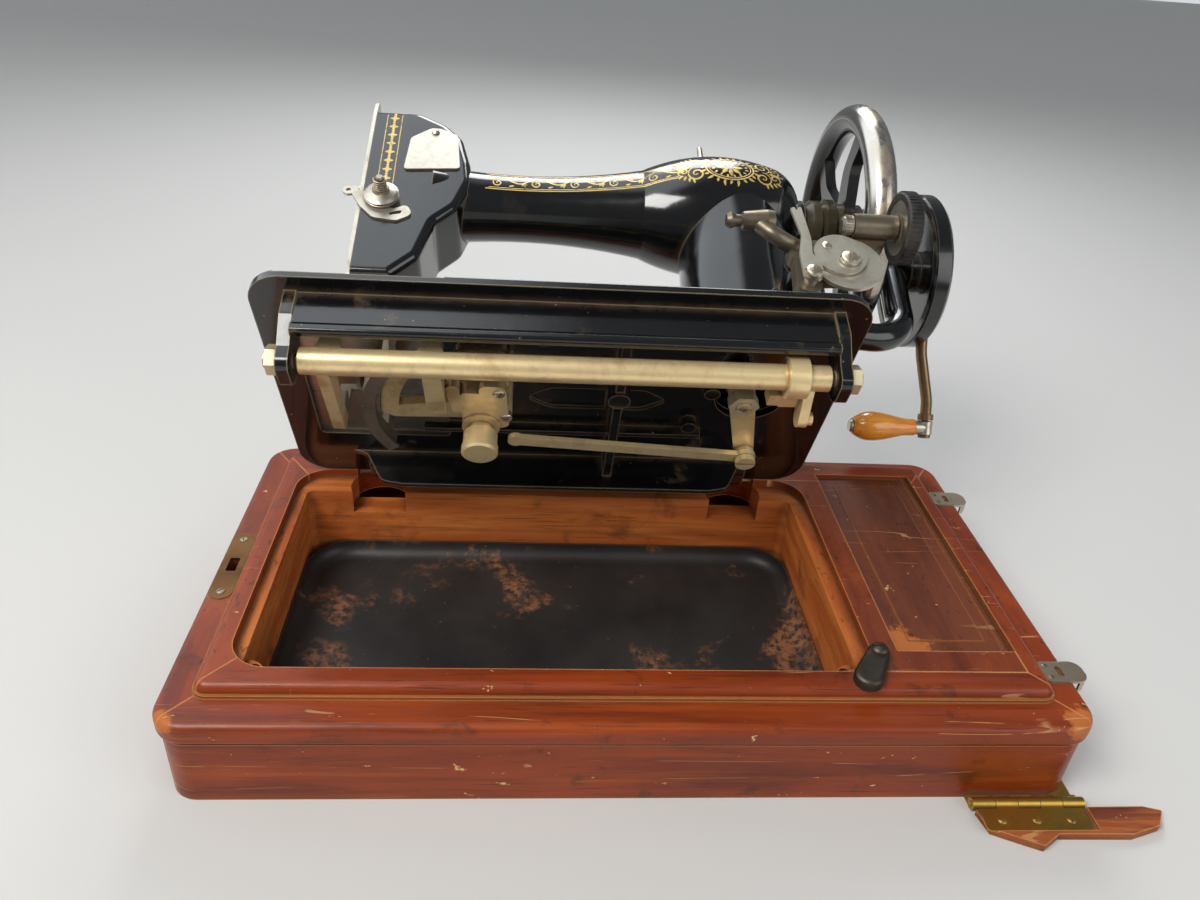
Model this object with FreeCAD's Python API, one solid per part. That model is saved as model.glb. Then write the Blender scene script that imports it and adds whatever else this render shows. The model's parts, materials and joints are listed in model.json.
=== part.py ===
import FreeCAD, Part

import math
import os

# A portable wooden case base with a three-quarter-size hand sewing machine
# hinged along its back edge. The machine head is the lid of the well: it is
# modelled closed, bed level in the rebate, and then laid back on its hinge.
#
# World frame: X to the right, Y to the back, Z up, origin at the centre of
# the underside of the base. Machine frame: x as in the world, v from the rear
# edge of the bed to its front edge, w up from the underside of the bed.
# All lengths are in millimetres.

Vec = FreeCAD.Vector

# Case base
BASE_LENGTH = 440.0
BASE_DEPTH = 236.0
CORNER_RADIUS = 16.0
BOARD_HEIGHT = 38.0
BOARD_THICKNESS = 13.0
BOARD_SETBACK = 1.8
NOSING_HEIGHT = 11.5
GROOVE_HEIGHT = 1.1
GROOVE_DEPTH = 2.0
NOSING_ROUND = 4.0
NOSING_LOW_ROUND = 2.5
RAISED_HEIGHT = 6.8
LEDGE_LEFT = 16.2
LEDGE_RIGHT = 17.1
LEDGE_FRONT = 18.3
LEDGE_BACK = 14.3
BOTTOM_THICKNESS = 5.0
BOTTOM_GAP = 0.2

# Machine bed, which sets the size of the well
BED_LENGTH = 308.0
BED_WIDTH = 166.0
BED_THICKNESS = 5.0
BED_CORNER = 18.0
BED_CENTRE_X = -37.8
BED_CLEARANCE = 1.3
BED_REST_Z = 51.0
BED_BACK_MARGIN = 38.1

# Hinge line of the machine
HINGE_BEHIND_BED = 5.0
HINGE_ABOVE_UNDERSIDE = 2.5
TILT_BACK = 65.4
HINGE_PIN_RADIUS = 1.6
HINGE_EYE_RADIUS = 3.3
HINGE_FIT = 0.08
FINGER_WIDTH = 10.0
FINGER_XS = (-145.0, 74.0)
POCKET_RADIUS = 17.5
POCKET_FRONT = 12.4
POCKET_FLOOR_Z = 36.0

# Well
WELL_LEFT_LEDGE = 6.0
WELL_RIGHT_LEDGE = 8.5
WELL_FRONT_LEDGE = 3.4
WELL_BACK_LEDGE = 16.4
WELL_CORNER = 4.0
TRAY_SHEET = 1.2
TRAY_RIM = 10.0
TRAY_COVE = 8.0
TRAY_REAR_CORNER = 26.0
TRAY_GAP = 0.3
POST_RADIUS = 10.5
POST_BORE = 3.2
POST_BORE_INSET = 4.6

# Accessory compartment
DIVIDER_WIDTH = 14.0
COMPARTMENT_FRONT = 14.5
COMPARTMENT_BACK = 8.0
LID_THICKNESS = 4.6
LID_GAP = 0.4
LID_LEDGE = 4.0
LID_BEVEL = 9.0
LID_PIN_RADIUS = 1.0
OVOLO = 3.2

# Small case fittings
BUTTON_PIVOT = (119.0, -78.6)
BUTTON_THICKNESS = 5.5
BUTTON_REACH = 25.0
BUTTON_ANGLE = 238.0
LOCK_PLATE_LENGTH = 56.0
LOCK_PLATE_WIDTH = 12.5
LOCK_PLATE_THICKNESS = 1.2
LOCK_PLATE_Y = -5.5
CATCH_YS = (-81.0, 72.5)
CATCH_WIDTH = 14.0
CATCH_THICKNESS = 1.4
CATCH_OVERHANG = 7.0
BUTT_X0 = 164.0
BUTT_X1 = 221.0
BUTT_RADIUS = 3.0
BUTT_PIN = 1.2
BUTT_LEAF = 1.2
FLAP_THICKNESS = 4.4
FLAP_DEPTH = 21.0
FLAP_END_X = 259.0

# Castings under the bed
RIB_SETBACK = 14.0
RIB_THICKNESS = 4.0
RIB_DEPTH = 25.0
RIM_V = 18.5
RIM_THICKNESS = 3.2
RIM_DEPTH = 23.0
WEB_X = -8.0
WEB_THICKNESS = 5.0
WEB_DEPTH = 14.0
LUG_THICKNESS = 6.0
LUG_RADIUS = 10.5
ROCK_SETBACK = 26.0
ROCK_W = -29.0
ROCK_RADIUS = 6.6
ROCK_X0 = -164.6
ROCK_X1 = 91.6
ROCK_END_PLAY = 1.4
PIVOT_SCREW_RADIUS = 4.0
PIVOT_SCREW_STUB = 1.8
NUT_FLATS = 13.0
NUT_HEIGHT = 6.0

# Shuttle drive
CARRIER_X = -81.0
CARRIER_V = 85.0
CARRIER_SHAFT = 6.0
CARRIER_BOSS = 10.0
RACE_RADIUS = 58.0
RACE_WIDTH = 5.0
LEVER_TOP_X = 54.0
LEVER_BEHIND_ROCK = 24.0
LEVER_END = (65.0, 67.0)
LEVER_WIDTH = 11.0
LEVER_W = -24.0
LEVER_THICKNESS = 6.0
PITMAN_THICKNESS = 3.0
PITMAN_WIDTH = 6.5
PITMAN_END = (-62.5, 78.0)
PIN_FIT = 0.06

# Slide plates and feed
PLATE_X0 = -178.0
PLATE_X1 = -98.0
PLATE_V0 = 36.0
PLATE_V1 = 150.0
PLATE_THICKNESS = 1.5
PLATE_LIP = 3.0
PLATE_GAP = 0.3
SLIDE_FIT = 0.1
NEEDLE_PLATE_V0 = 74.0
NEEDLE_PLATE_V1 = 104.0
NEEDLE_X = -143.0
NEEDLE_V = 92.0
NEEDLE_SLOT = 3.2
NEEDLE_BLADE = 0.7
NEEDLE_SHANK = 1.1
NEEDLE_TIP_W = 8.0
NEEDLE_SEAT_W = 39.0
FEED_DROP = 2.3

# Arm and head
ARM_V = 85.0
ARM_W = 145.0
PILLAR_X = 68.0
HEAD_X0 = -158.0
HEAD_V0 = 62.0
HEAD_V1 = 108.0
HEAD_BOTTOM = 62.0
HEAD_TOP = 207.0
FACE_PLATE = 2.2
NEEDLE_BAR_RADIUS = 3.2
PRESSER_V = 76.0
PRESSER_X = -146.0
PRESSER_BAR_RADIUS = 3.4
FOOT_SEAT_W = 14.0
TENSION_X = -146.0
TENSION_W = 122.0
SPOOL_PIN_X = 57.0
SPOOL_PIN_TOP = 217.0

ARM_X0 = -92.0
HEAD_ROUND = 5.0
HOLLOW_RADIUS = 20.0
CASTING_WALL = 5.5
HEAD_WALL = 5.0
RIM_ENDS = (-161.0, 85.0)

# Handwheel and crank
BRACKET_X = 106.0
WHEEL_V = 85.0
WHEEL_W = 142.0
WHEEL_X = 145.0
WHEEL_RADIUS = 76.0
RIM_SECTION = 9.0
HUB_RADIUS = 15.0
SPOKES = 5
AXLE_RADIUS = 6.0
AXLE_FIT = 0.06
ARM_SHAFT_X0 = 86.0
CRANK_V = 72.0
CRANK_W = 118.0
CRANK_WHEEL_RADIUS = 49.0
CRANK_WHEEL_X0 = 187.0
CRANK_WHEEL_X1 = 198.0
CRANK_LENGTH = 102.0
CRANK_REST = 229.0
CRANK_SHAFT_RADIUS = 5.0
GRIP_RADIUS = 9.5
GRIP_INNER_X = 156.5
CRANK_END_X = 209.0

# Bobbin winder
WINDER_AHEAD = 66.0
WINDER_DROP = 72.0
WINDER_POST_X = 92.0
WINDER_POST_DROP = 14.0
LEVER_PIN_X = 89.5
LEVER_PIN_DROP = 40.0
WINDER_SHAFT = 2.6
CHUCK_RADIUS = 5.6
RING_RADIUS = 19.5
RING_X = 147.0
RING_WIDTH = 8.0
CAM_X = 111.5
CAM_DROP = 27.0
CAM_RADIUS = 19.0

# Sizes that follow from the ones above
HALF_L = BASE_LENGTH / 2
HALF_D = BASE_DEPTH / 2
BED_REAR_Y = HALF_D - BED_BACK_MARGIN
RIB_V = BED_WIDTH - RIB_SETBACK
ROCK_V = BED_WIDTH - ROCK_SETBACK
LEVER_TOP = (LEVER_TOP_X, ROCK_V - LEVER_BEHIND_ROCK)
WINDER_V = WHEEL_V + WINDER_AHEAD
WINDER_W = WHEEL_W - WINDER_DROP
WINDER_POST_W = WINDER_W - WINDER_POST_DROP
LEVER_PIN_W = WINDER_W - LEVER_PIN_DROP
CAM_W = WINDER_W - CAM_DROP
LEDGE_Z = BOARD_HEIGHT + NOSING_HEIGHT
TOP_Z = LEDGE_Z + RAISED_HEIGHT
RAISED_X0 = -HALF_L + LEDGE_LEFT
RAISED_X1 = HALF_L - LEDGE_RIGHT
RAISED_Y0 = -HALF_D + LEDGE_FRONT
RAISED_Y1 = HALF_D - LEDGE_BACK
BED_X0 = BED_CENTRE_X - BED_LENGTH / 2
BED_X1 = BED_CENTRE_X + BED_LENGTH / 2
REBATE_X0 = BED_X0 - BED_CLEARANCE
REBATE_X1 = BED_X1 + BED_CLEARANCE
REBATE_Y0 = BED_REAR_Y - BED_WIDTH - BED_CLEARANCE
REBATE_Y1 = BED_REAR_Y + BED_CLEARANCE
WELL_X0 = REBATE_X0 + WELL_LEFT_LEDGE
WELL_X1 = REBATE_X1 - WELL_RIGHT_LEDGE
WELL_Y0 = REBATE_Y0 + WELL_FRONT_LEDGE
WELL_Y1 = REBATE_Y1 - WELL_BACK_LEDGE
FRAME_X1 = RAISED_X1 - 10.0
LID_X0 = REBATE_X1 + DIVIDER_WIDTH
LID_X1 = FRAME_X1
LID_Y0 = REBATE_Y0 + COMPARTMENT_FRONT
LID_Y1 = REBATE_Y1 + COMPARTMENT_BACK
HINGE_Y = BED_REAR_Y + HINGE_BEHIND_BED
HINGE_Z = BED_REST_Z + HINGE_ABOVE_UNDERSIDE


# Construction helpers

def on_xy(z):
    """Map plan coordinates to the world at height z."""
    return lambda a, b: Vec(a, b, z)


def on_xv(w):
    """Map (x, v) of the machine to its own frame at height w."""
    return lambda a, b: Vec(a, -b, w)


def on_xw(v):
    """Map (x, w) of the machine to its own frame at depth v."""
    return lambda a, b: Vec(a, -v, b)


def on_vw(x):
    """Map (v, w) of the machine to its own frame at x."""
    return lambda a, b: Vec(x, -a, b)


def outline(points, radii, place):
    """Closed wire through the points, each corner turned by its radius."""
    count = len(points)
    if not isinstance(radii, (list, tuple)):
        radii = [radii] * count
    corners = []
    for i in range(count):
        here = points[i]
        back = points[i - 1]
        ahead = points[(i + 1) % count]
        ux, uy = back[0] - here[0], back[1] - here[1]
        vx, vy = ahead[0] - here[0], ahead[1] - here[1]
        lu, lv = math.hypot(ux, uy), math.hypot(vx, vy)
        ux, uy, vx, vy = ux / lu, uy / lu, vx / lv, vy / lv
        dot = max(-1.0, min(1.0, ux * vx + uy * vy))
        half = math.acos(dot) / 2
        if radii[i] <= 0 or half > math.radians(89.9):
            corners.append((here, None, here))
            continue
        run = radii[i] / math.tan(half)
        bx, by = ux + vx, uy + vy
        lb = math.hypot(bx, by)
        reach = radii[i] / math.sin(half) - radii[i]
        mid = (here[0] + bx / lb * reach, here[1] + by / lb * reach)
        start = (here[0] + ux * run, here[1] + uy * run)
        end = (here[0] + vx * run, here[1] + vy * run)
        corners.append((start, mid, end))
    edges = []
    for i in range(count):
        start, mid, end = corners[i]
        if mid is not None:
            edges.append(Part.Arc(place(*start), place(*mid), place(*end)).toShape())
        nxt = corners[(i + 1) % count][0]
        a, b = place(*end), place(*nxt)
        if a.distanceToPoint(b) > 1e-5:
            edges.append(Part.LineSegment(a, b).toShape())
    return Part.Wire(edges)


def slab(points, radii, place, rise):
    """Prism on an outline with rounded corners."""
    return Part.Face(outline(points, radii, place)).extrude(rise)


def rect(x0, x1, y0, y1):
    """Corner points of a rectangle, anticlockwise."""
    return [(x0, y0), (x1, y0), (x1, y1), (x0, y1)]


def block(x0, x1, y0, y1, z0, z1, radii=0.0):
    """Box in the world frame with rounded vertical edges."""
    return slab(rect(x0, x1, y0, y1), radii, on_xy(z0), Vec(0, 0, z1 - z0))


def mbox(x0, x1, v0, v1, w0, w1):
    """Plain box in the machine frame."""
    return Part.makeBox(x1 - x0, v1 - v0, w1 - w0, Vec(x0, -v1, w0))


def rod(start, end, radius):
    """Cylinder between two points of one frame."""
    axis = end - start
    return Part.makeCylinder(radius, axis.Length, start, axis)


def mrod(start, end, radius):
    """Cylinder between two (x, v, w) points of the machine."""
    return rod(mp(*start), mp(*end), radius)


def mp(x, v, w):
    """Machine point (x, v, w) as a vector of the machine frame."""
    return Vec(x, -v, w)


def turned(profile, start, axis, smooth=False):
    """Solid of revolution from (distance, radius) pairs along an axis."""
    points = [Vec(r, 0, s) for s, r in profile]
    if smooth:
        curve = Part.BSplineCurve()
        curve.interpolate(points)
        edges = [curve.toShape()]
    else:
        edges = []
        for a, b in zip(points, points[1:]):
            edges.append(Part.LineSegment(a, b).toShape())
    first, last = points[0], points[-1]
    low, high = Vec(0, 0, first.z), Vec(0, 0, last.z)
    if last.distanceToPoint(high) > 1e-6:
        edges.append(Part.LineSegment(last, high).toShape())
    edges.append(Part.LineSegment(high, low).toShape())
    if low.distanceToPoint(first) > 1e-6:
        edges.append(Part.LineSegment(low, first).toShape())
    solid = Part.Face(Part.Wire(edges)).revolve(Vec(0, 0, 0), Vec(0, 0, 1), 360)
    solid.Placement = FreeCAD.Placement(
        start, FreeCAD.Rotation(Vec(0, 0, 1), axis)).multiply(solid.Placement)
    return solid


def arc_turned(profile, start, axis):
    """Solid of revolution whose outline is a chain of three-point arcs."""
    points = [Vec(r, 0, s) for s, r in profile]
    edges = []
    for i in range(0, len(points) - 2, 2):
        edges.append(Part.Arc(points[i], points[i + 1], points[i + 2]).toShape())
    first, last = points[0], points[-1]
    low, high = Vec(0, 0, first.z), Vec(0, 0, last.z)
    edges.append(Part.LineSegment(last, high).toShape())
    edges.append(Part.LineSegment(high, low).toShape())
    edges.append(Part.LineSegment(low, first).toShape())
    solid = Part.Face(Part.Wire(edges)).revolve(Vec(0, 0, 0), Vec(0, 0, 1), 360)
    solid.Placement = FreeCAD.Placement(
        start, FreeCAD.Rotation(Vec(0, 0, 1), axis)).multiply(solid.Placement)
    return solid


def fuse(first, *rest):
    """One clean solid from several that meet."""
    body = first
    for other in rest:
        body = body.fuse(other)
    return body.removeSplitter()


def bent_rod(points, bends, radius):
    """Round bar along straight runs joined by tangent arcs."""
    edges = []
    here = points[0]
    for i in range(1, len(points) - 1):
        corner = points[i]
        u = (points[i - 1] - corner).normalize()
        v = (points[i + 1] - corner).normalize()
        half = u.getAngle(v) / 2
        run = bends[i - 1] / math.tan(half)
        a, b = corner + u * run, corner + v * run
        way = (u + v).normalize()
        mid = corner + way * (bends[i - 1] / math.sin(half) - bends[i - 1])
        if here.distanceToPoint(a) > 1e-5:
            edges.append(Part.LineSegment(here, a).toShape())
        edges.append(Part.Arc(a, mid, b).toShape())
        here = b
    edges.append(Part.LineSegment(here, points[-1]).toShape())
    path = Part.Wire(edges)
    along = points[1] - points[0]
    ring = Part.Wire([Part.Circle(points[0], along, radius).toShape()])
    return path.makePipeShell([ring], True, False)


def hexagon(flats, centre, place, rise):
    """Hexagonal prism with one pair of corners on the first axis."""
    reach = flats / math.sqrt(3)
    points = []
    for k in range(6):
        turn = math.radians(60 * k)
        points.append((centre[0] + reach * math.cos(turn),
                       centre[1] + reach * math.sin(turn)))
    return slab(points, 0.0, place, rise)


def link(start, end, radius_a, radius_b, place, rise):
    """Flat link: the hull of a circle at each end."""
    dx, dy = end[0] - start[0], end[1] - start[1]
    way = math.atan2(dy, dx)
    spread = math.acos((radius_a - radius_b) / math.hypot(dx, dy))

    def at(centre, radius, turn):
        return place(centre[0] + radius * math.cos(turn),
                     centre[1] + radius * math.sin(turn))

    a0, a1 = way + spread, way - spread
    edges = [
        Part.Arc(at(start, radius_a, a0), at(start, radius_a, way + math.pi),
                 at(start, radius_a, a1)).toShape(),
        Part.LineSegment(at(start, radius_a, a1), at(end, radius_b, a1)).toShape(),
        Part.Arc(at(end, radius_b, a1), at(end, radius_b, way),
                 at(end, radius_b, a0)).toShape(),
        Part.LineSegment(at(end, radius_b, a0), at(start, radius_a, a0)).toShape(),
    ]
    return Part.Face(Part.Wire(edges)).extrude(rise)


def seat(shape):
    """Put a shape of the machine frame on the hinge, laid back."""
    placed = shape.copy()
    placed.translate(Vec(0, BED_REAR_Y, BED_REST_Z))
    placed.rotate(Vec(0, HINGE_Y, HINGE_Z), Vec(1, 0, 0), -TILT_BACK)
    return placed


# Case base

def mitred(solid, outer, inner, reach):
    """Cut a frame into front, right, back and left pieces at its mitres."""
    ox0, ox1, oy0, oy1 = outer
    ix0, ix1, iy0, iy1 = inner
    out = [(ox0, oy0), (ox1, oy0), (ox1, oy1), (ox0, oy1)]
    ins = [(ix0, iy0), (ix1, iy0), (ix1, iy1), (ix0, iy1)]
    far = []
    for (ax, ay), (bx, by), extra in zip(out, ins, reach):
        length = math.hypot(bx - ax, by - ay)
        far.append((bx + (bx - ax) / length * extra, by + (by - ay) / length * extra))
    pieces = []
    for i in range(4):
        j = (i + 1) % 4
        wedge = slab([out[i], out[j], far[j], far[i]], 0.0,
                     on_xy(-1.0), Vec(0, 0, TOP_Z + 2))
        pieces.append(solid.common(wedge).removeSplitter())
    return pieces


def side_boards():
    """Four mitred boards with round corners and a mortise for the butt hinge."""
    inset = BOARD_SETBACK
    outer = block(-HALF_L + inset, HALF_L - inset, -HALF_D + inset, HALF_D - inset,
                  0, BOARD_HEIGHT, CORNER_RADIUS - inset)
    room = inset + BOARD_THICKNESS
    inner = block(-HALF_L + room, HALF_L - room, -HALF_D + room, HALF_D - room,
                  -1, BOARD_HEIGHT + 1, 2.0)
    ring = outer.cut(inner)
    groove = block(-HALF_L, HALF_L, -HALF_D, HALF_D,
                   BOARD_HEIGHT - GROOVE_HEIGHT, BOARD_HEIGHT)
    deep = inset + GROOVE_DEPTH
    core = block(-HALF_L + deep, HALF_L - deep, -HALF_D + deep, HALF_D - deep,
                 0, BOARD_HEIGHT, CORNER_RADIUS - deep)
    ring = ring.cut(groove.cut(core))
    mortise = block(BUTT_X0 + 2, BUTT_X1 - 2.0, -HALF_D - 1, -HALF_D + 18,
                    -1, BUTT_LEAF + 0.2)
    ring = ring.cut(mortise)
    return mitred(ring, (-HALF_L, HALF_L, -HALF_D, HALF_D),
                  (-HALF_L + room, HALF_L - room, -HALF_D + room, HALF_D - room),
                  (4, 4, 4, 4))


def pockets():
    """Round pockets bored down behind the well for the hinge fingers."""
    tools = []
    for x in FINGER_XS:
        start = Vec(x, HINGE_Y - POCKET_FRONT, POCKET_FLOOR_Z)
        tools.append(rod(start, start + Vec(0, 0, TOP_Z), POCKET_RADIUS))
    return tools


def hinge_pin_shapes(radius):
    """Cross pins of the two hinges, let into the pocket walls."""
    half = math.sqrt(POCKET_RADIUS ** 2 - POCKET_FRONT ** 2) + 8.0
    pins = []
    for x in FINGER_XS:
        pins.append(rod(Vec(x - half, HINGE_Y, HINGE_Z),
                        Vec(x + half, HINGE_Y, HINGE_Z), radius))
    return pins


def top_frame():
    """Nosed and moulded top frame: four mitred rails and the divider."""
    nosing = block(-HALF_L, HALF_L, -HALF_D, HALF_D,
                   BOARD_HEIGHT, LEDGE_Z, CORNER_RADIUS)
    low = [e for e in nosing.Edges if abs(e.BoundBox.ZMax - BOARD_HEIGHT) < 1e-4]
    nosing = nosing.makeFillet(NOSING_LOW_ROUND, low)
    high = [e for e in nosing.Edges if abs(e.BoundBox.ZMin - LEDGE_Z) < 1e-4]
    nosing = nosing.makeFillet(NOSING_ROUND, high)
    quirk = block(RAISED_X0 - 1.2, RAISED_X1 + 1.2, RAISED_Y0 - 1.2, RAISED_Y1 + 1.2,
                  LEDGE_Z, LEDGE_Z + 1.6, 7.2)
    raised = block(RAISED_X0, RAISED_X1, RAISED_Y0, RAISED_Y1, LEDGE_Z, TOP_Z, 6.0)
    crest = [e for e in raised.Edges if abs(e.BoundBox.ZMin - TOP_Z) < 1e-4]
    raised = raised.makeFillet(OVOLO + 1.0, crest)
    frame = nosing.fuse(quirk).fuse(raised).removeSplitter()
    well = block(REBATE_X0, REBATE_X1, REBATE_Y0, REBATE_Y1, BOARD_HEIGHT - 1,
                 TOP_Z + 1, BED_CORNER + BED_CLEARANCE)
    recess = block(LID_X0, LID_X1, LID_Y0, LID_Y1,
                   TOP_Z - RAISED_HEIGHT + 0.5, TOP_Z + 1)
    hollow = block(LID_X0 + LID_LEDGE, LID_X1 - LID_LEDGE, LID_Y0 + LID_LEDGE,
                   LID_Y1 - LID_LEDGE, BOARD_HEIGHT - 1, TOP_Z)
    frame = frame.cut(well).cut(recess).cut(hollow)
    for tool in pockets() + hinge_pin_shapes(HINGE_PIN_RADIUS):
        frame = frame.cut(tool)
    lock = lock_plate_outline(LEDGE_Z - 0.7, TOP_Z - LEDGE_Z)
    frame = frame.cut(lock)
    frame = frame.cut(block(-HALF_L + 5.2, -HALF_L + 11.2, LOCK_PLATE_Y - 6,
                            LOCK_PLATE_Y + 6, LEDGE_Z - 9, TOP_Z))
    outer = (-HALF_L, HALF_L, -HALF_D, HALF_D)
    inner = (REBATE_X0, FRAME_X1, REBATE_Y0, REBATE_Y1)
    front, right, back, left = mitred(frame, outer, inner, (20, 0, 0, 20))
    region = block(REBATE_X1 - 20, FRAME_X1, REBATE_Y0, REBATE_Y1,
                   BOARD_HEIGHT - 1, TOP_Z + 1)
    divider = frame.common(region).removeSplitter()
    solids = sorted(divider.Solids, key=lambda s: -s.Volume)
    divider = solids[0]
    front = front.cut(divider).removeSplitter()
    back = back.cut(divider).removeSplitter()
    return front, right, back, left, divider


def well_walls():
    """Four boards that line the well and carry the bed."""
    outer = block(REBATE_X0, REBATE_X1, REBATE_Y0, REBATE_Y1,
                  BOTTOM_THICKNESS, BED_REST_Z, BED_CORNER + BED_CLEARANCE)
    inner = block(WELL_X0, WELL_X1, WELL_Y0, WELL_Y1,
                  BOTTOM_THICKNESS - 1, BED_REST_Z + 1, WELL_CORNER)
    ring = outer.cut(inner)
    for tool in pockets():
        ring = ring.cut(tool)
    y_back = WELL_Y1
    y_front = WELL_Y0
    back = ring.common(block(REBATE_X0, REBATE_X1, y_back - 4, REBATE_Y1 + 1,
                             0, TOP_Z))
    front = ring.common(block(REBATE_X0, REBATE_X1, REBATE_Y0 - 1, y_front + 4,
                              0, TOP_Z))
    middle = ring.cut(back).cut(front)
    parts = sorted(middle.Solids, key=lambda s: s.CenterOfMass.x)
    return front.Solids[0], parts[0], back.Solids[0], parts[-1]


def bottom_panel():
    """Panel let in between the side boards."""
    room = BOARD_SETBACK + BOARD_THICKNESS + BOTTOM_GAP
    return block(-HALF_L + room, HALF_L - room, -HALF_D + room, HALF_D - room,
                 0, BOTTOM_THICKNESS, 2.0)


def drip_tray():
    """Sheet tray with coved sides on the floor of the well."""
    z0 = BOTTOM_THICKNESS
    gap = TRAY_GAP
    radii = [5.0, 5.0, TRAY_REAR_CORNER, TRAY_REAR_CORNER]
    body = block(WELL_X0 + gap, WELL_X1 - gap, WELL_Y0 + gap, WELL_Y1 - gap,
                 z0, z0 + TRAY_RIM, radii)
    wall = gap + TRAY_SHEET
    deep = [r - TRAY_SHEET for r in (10.0, 10.0, TRAY_REAR_CORNER, TRAY_REAR_CORNER)]
    cavity = block(WELL_X0 + wall, WELL_X1 - wall, WELL_Y0 + wall, WELL_Y1 - wall,
                   z0 + TRAY_SHEET, z0 + TRAY_RIM + 20, deep)
    floor = [e for e in cavity.Edges
             if abs(e.BoundBox.ZMax - z0 - TRAY_SHEET) < 1e-4]
    cavity = cavity.makeFillet(TRAY_COVE, floor)
    return body.cut(cavity)


def corner_posts():
    """Quarter-round posts in the two front corners of the well."""
    shapes = []
    floor = BOTTOM_THICKNESS + TRAY_RIM + 0.3
    top = BED_REST_Z - 4.0
    for x, side in ((WELL_X0, 1), (WELL_X1, -1)):
        centre = Vec(x, WELL_Y0, floor)
        post = rod(centre, centre + Vec(0, 0, top - floor), POST_RADIUS)
        x0, x1 = (x, x + POST_RADIUS) if side > 0 else (x - POST_RADIUS, x)
        room = block(x0, x1, WELL_Y0, WELL_Y0 + POST_RADIUS, floor, top)
        corner = block(x - 20, x + 20, WELL_Y0 - 20, WELL_Y0 + 20, floor, top)
        keep = block(WELL_X0, WELL_X1, WELL_Y0, WELL_Y1, floor, top, WELL_CORNER)
        post = post.common(room).common(corner.common(keep))
        bore_x, bore_y = x + side * POST_BORE_INSET, WELL_Y0 + POST_BORE_INSET
        bore = rod(Vec(bore_x, bore_y, top - 9), Vec(bore_x, bore_y, top + 1), POST_BORE)
        shapes.append(post.cut(bore))
    return Part.makeCompound(shapes)


def hinge_straps():
    """Small plates over the ends of the hinge pins."""
    half = math.sqrt(POCKET_RADIUS ** 2 - POCKET_FRONT ** 2)
    plates = []
    for x in FINGER_XS:
        for side in (-1, 1):
            a = x + side * (half + 1.2)
            b = x + side * (half + 12.0)
            plates.append(block(min(a, b), max(a, b), HINGE_Y - 2.0, HINGE_Y + 8.0,
                                TOP_Z, TOP_Z + 0.7, 1.5))
    return plates


def lock_plate_outline(z, height):
    """Plan of the lock plate as a prism."""
    x0 = -HALF_L + (LEDGE_LEFT - LOCK_PLATE_WIDTH) / 2
    return block(x0, x0 + LOCK_PLATE_WIDTH, LOCK_PLATE_Y - LOCK_PLATE_LENGTH / 2,
                 LOCK_PLATE_Y + LOCK_PLATE_LENGTH / 2, z, z + height,
                 LOCK_PLATE_WIDTH / 2 - 0.01)


def lock_plate():
    """Plate on the left ledge with the slot for the lid's lock."""
    plate = lock_plate_outline(LEDGE_Z - 0.7, LOCK_PLATE_THICKNESS)
    slot = block(-HALF_L + 5.6, -HALF_L + 10.8, LOCK_PLATE_Y - 5.5,
                 LOCK_PLATE_Y + 5.5, 0, TOP_Z, 0.8)
    return plate.cut(slot)


def catch_plates():
    """Two nickel catches on the right ledge, turned down over its edge."""
    shapes = []
    for y in CATCH_YS:
        y0, y1 = y - CATCH_WIDTH / 2, y + CATCH_WIDTH / 2
        reach = HALF_L + CATCH_OVERHANG
        plate = block(RAISED_X1 + 2.0, reach, y0, y1, LEDGE_Z,
                      LEDGE_Z + CATCH_THICKNESS, [2.0, 5.5, 5.5, 2.0])
        lip = block(RAISED_X1 + 2.0, reach, y0, y1, LEDGE_Z - 5.5, LEDGE_Z,
                    [2.0, 5.5, 5.5, 2.0])
        lip = lip.common(block(HALF_L + 2.0, reach, y0, y1, LEDGE_Z - 6, LEDGE_Z))
        hollow = block(RAISED_X1, reach - 1.4, y0 + 1.4, y1 - 1.4, LEDGE_Z - 6,
                       LEDGE_Z, [0.6, 4.1, 4.1, 0.6])
        slot = block(HALF_L - 7.5, HALF_L - 4.5, y - 3.5, y + 3.5,
                     LEDGE_Z - 1, LEDGE_Z + 3, 1.2)
        shapes.append(fuse(plate, lip.cut(hollow)).cut(slot))
    return Part.makeCompound(shapes)


def compartment_lid():
    """Fielded lid panel, its hinged edge rounded about the pins."""
    z0 = TOP_Z - RAISED_HEIGHT + 0.5
    x0, x1 = LID_X0 + LID_GAP, LID_X1 - LID_GAP
    y0, y1 = LID_Y0 + LID_GAP, LID_Y1 - LID_GAP
    half = LID_THICKNESS / 2
    axis_x = x1 - half
    panel = block(x0, axis_x, y0, y1, z0, z0 + LID_THICKNESS)
    edge = rod(Vec(axis_x, y0, z0 + half), Vec(axis_x, y1, z0 + half), half)
    field = block(x0 + LID_BEVEL, axis_x - LID_BEVEL, y0 + LID_BEVEL, y1 - LID_BEVEL,
                  z0 + LID_THICKNESS - 0.7, z0 + LID_THICKNESS)
    margin = block(x0, axis_x - 2, y0, y1, z0 + LID_THICKNESS - 0.7,
                   z0 + LID_THICKNESS)
    panel = fuse(panel, edge).cut(margin.cut(field))
    pins = lid_trunnions(LID_PIN_RADIUS, 6.0)
    return fuse(panel, *pins)


def lid_axis():
    """Point on the axis of the compartment lid."""
    half = LID_THICKNESS / 2
    return Vec(LID_X1 - LID_GAP - half, 0, TOP_Z - RAISED_HEIGHT + 0.5 + half)


def lid_trunnions(radius, reach):
    """Pins at both ends of the lid, on its axis."""
    axis = lid_axis()
    shapes = []
    for y, way in ((LID_Y0, -1), (LID_Y1, 1)):
        shapes.append(rod(Vec(axis.x, y - way * (LID_GAP + 1), axis.z),
                          Vec(axis.x, y + way * reach, axis.z), radius))
    return shapes


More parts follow.
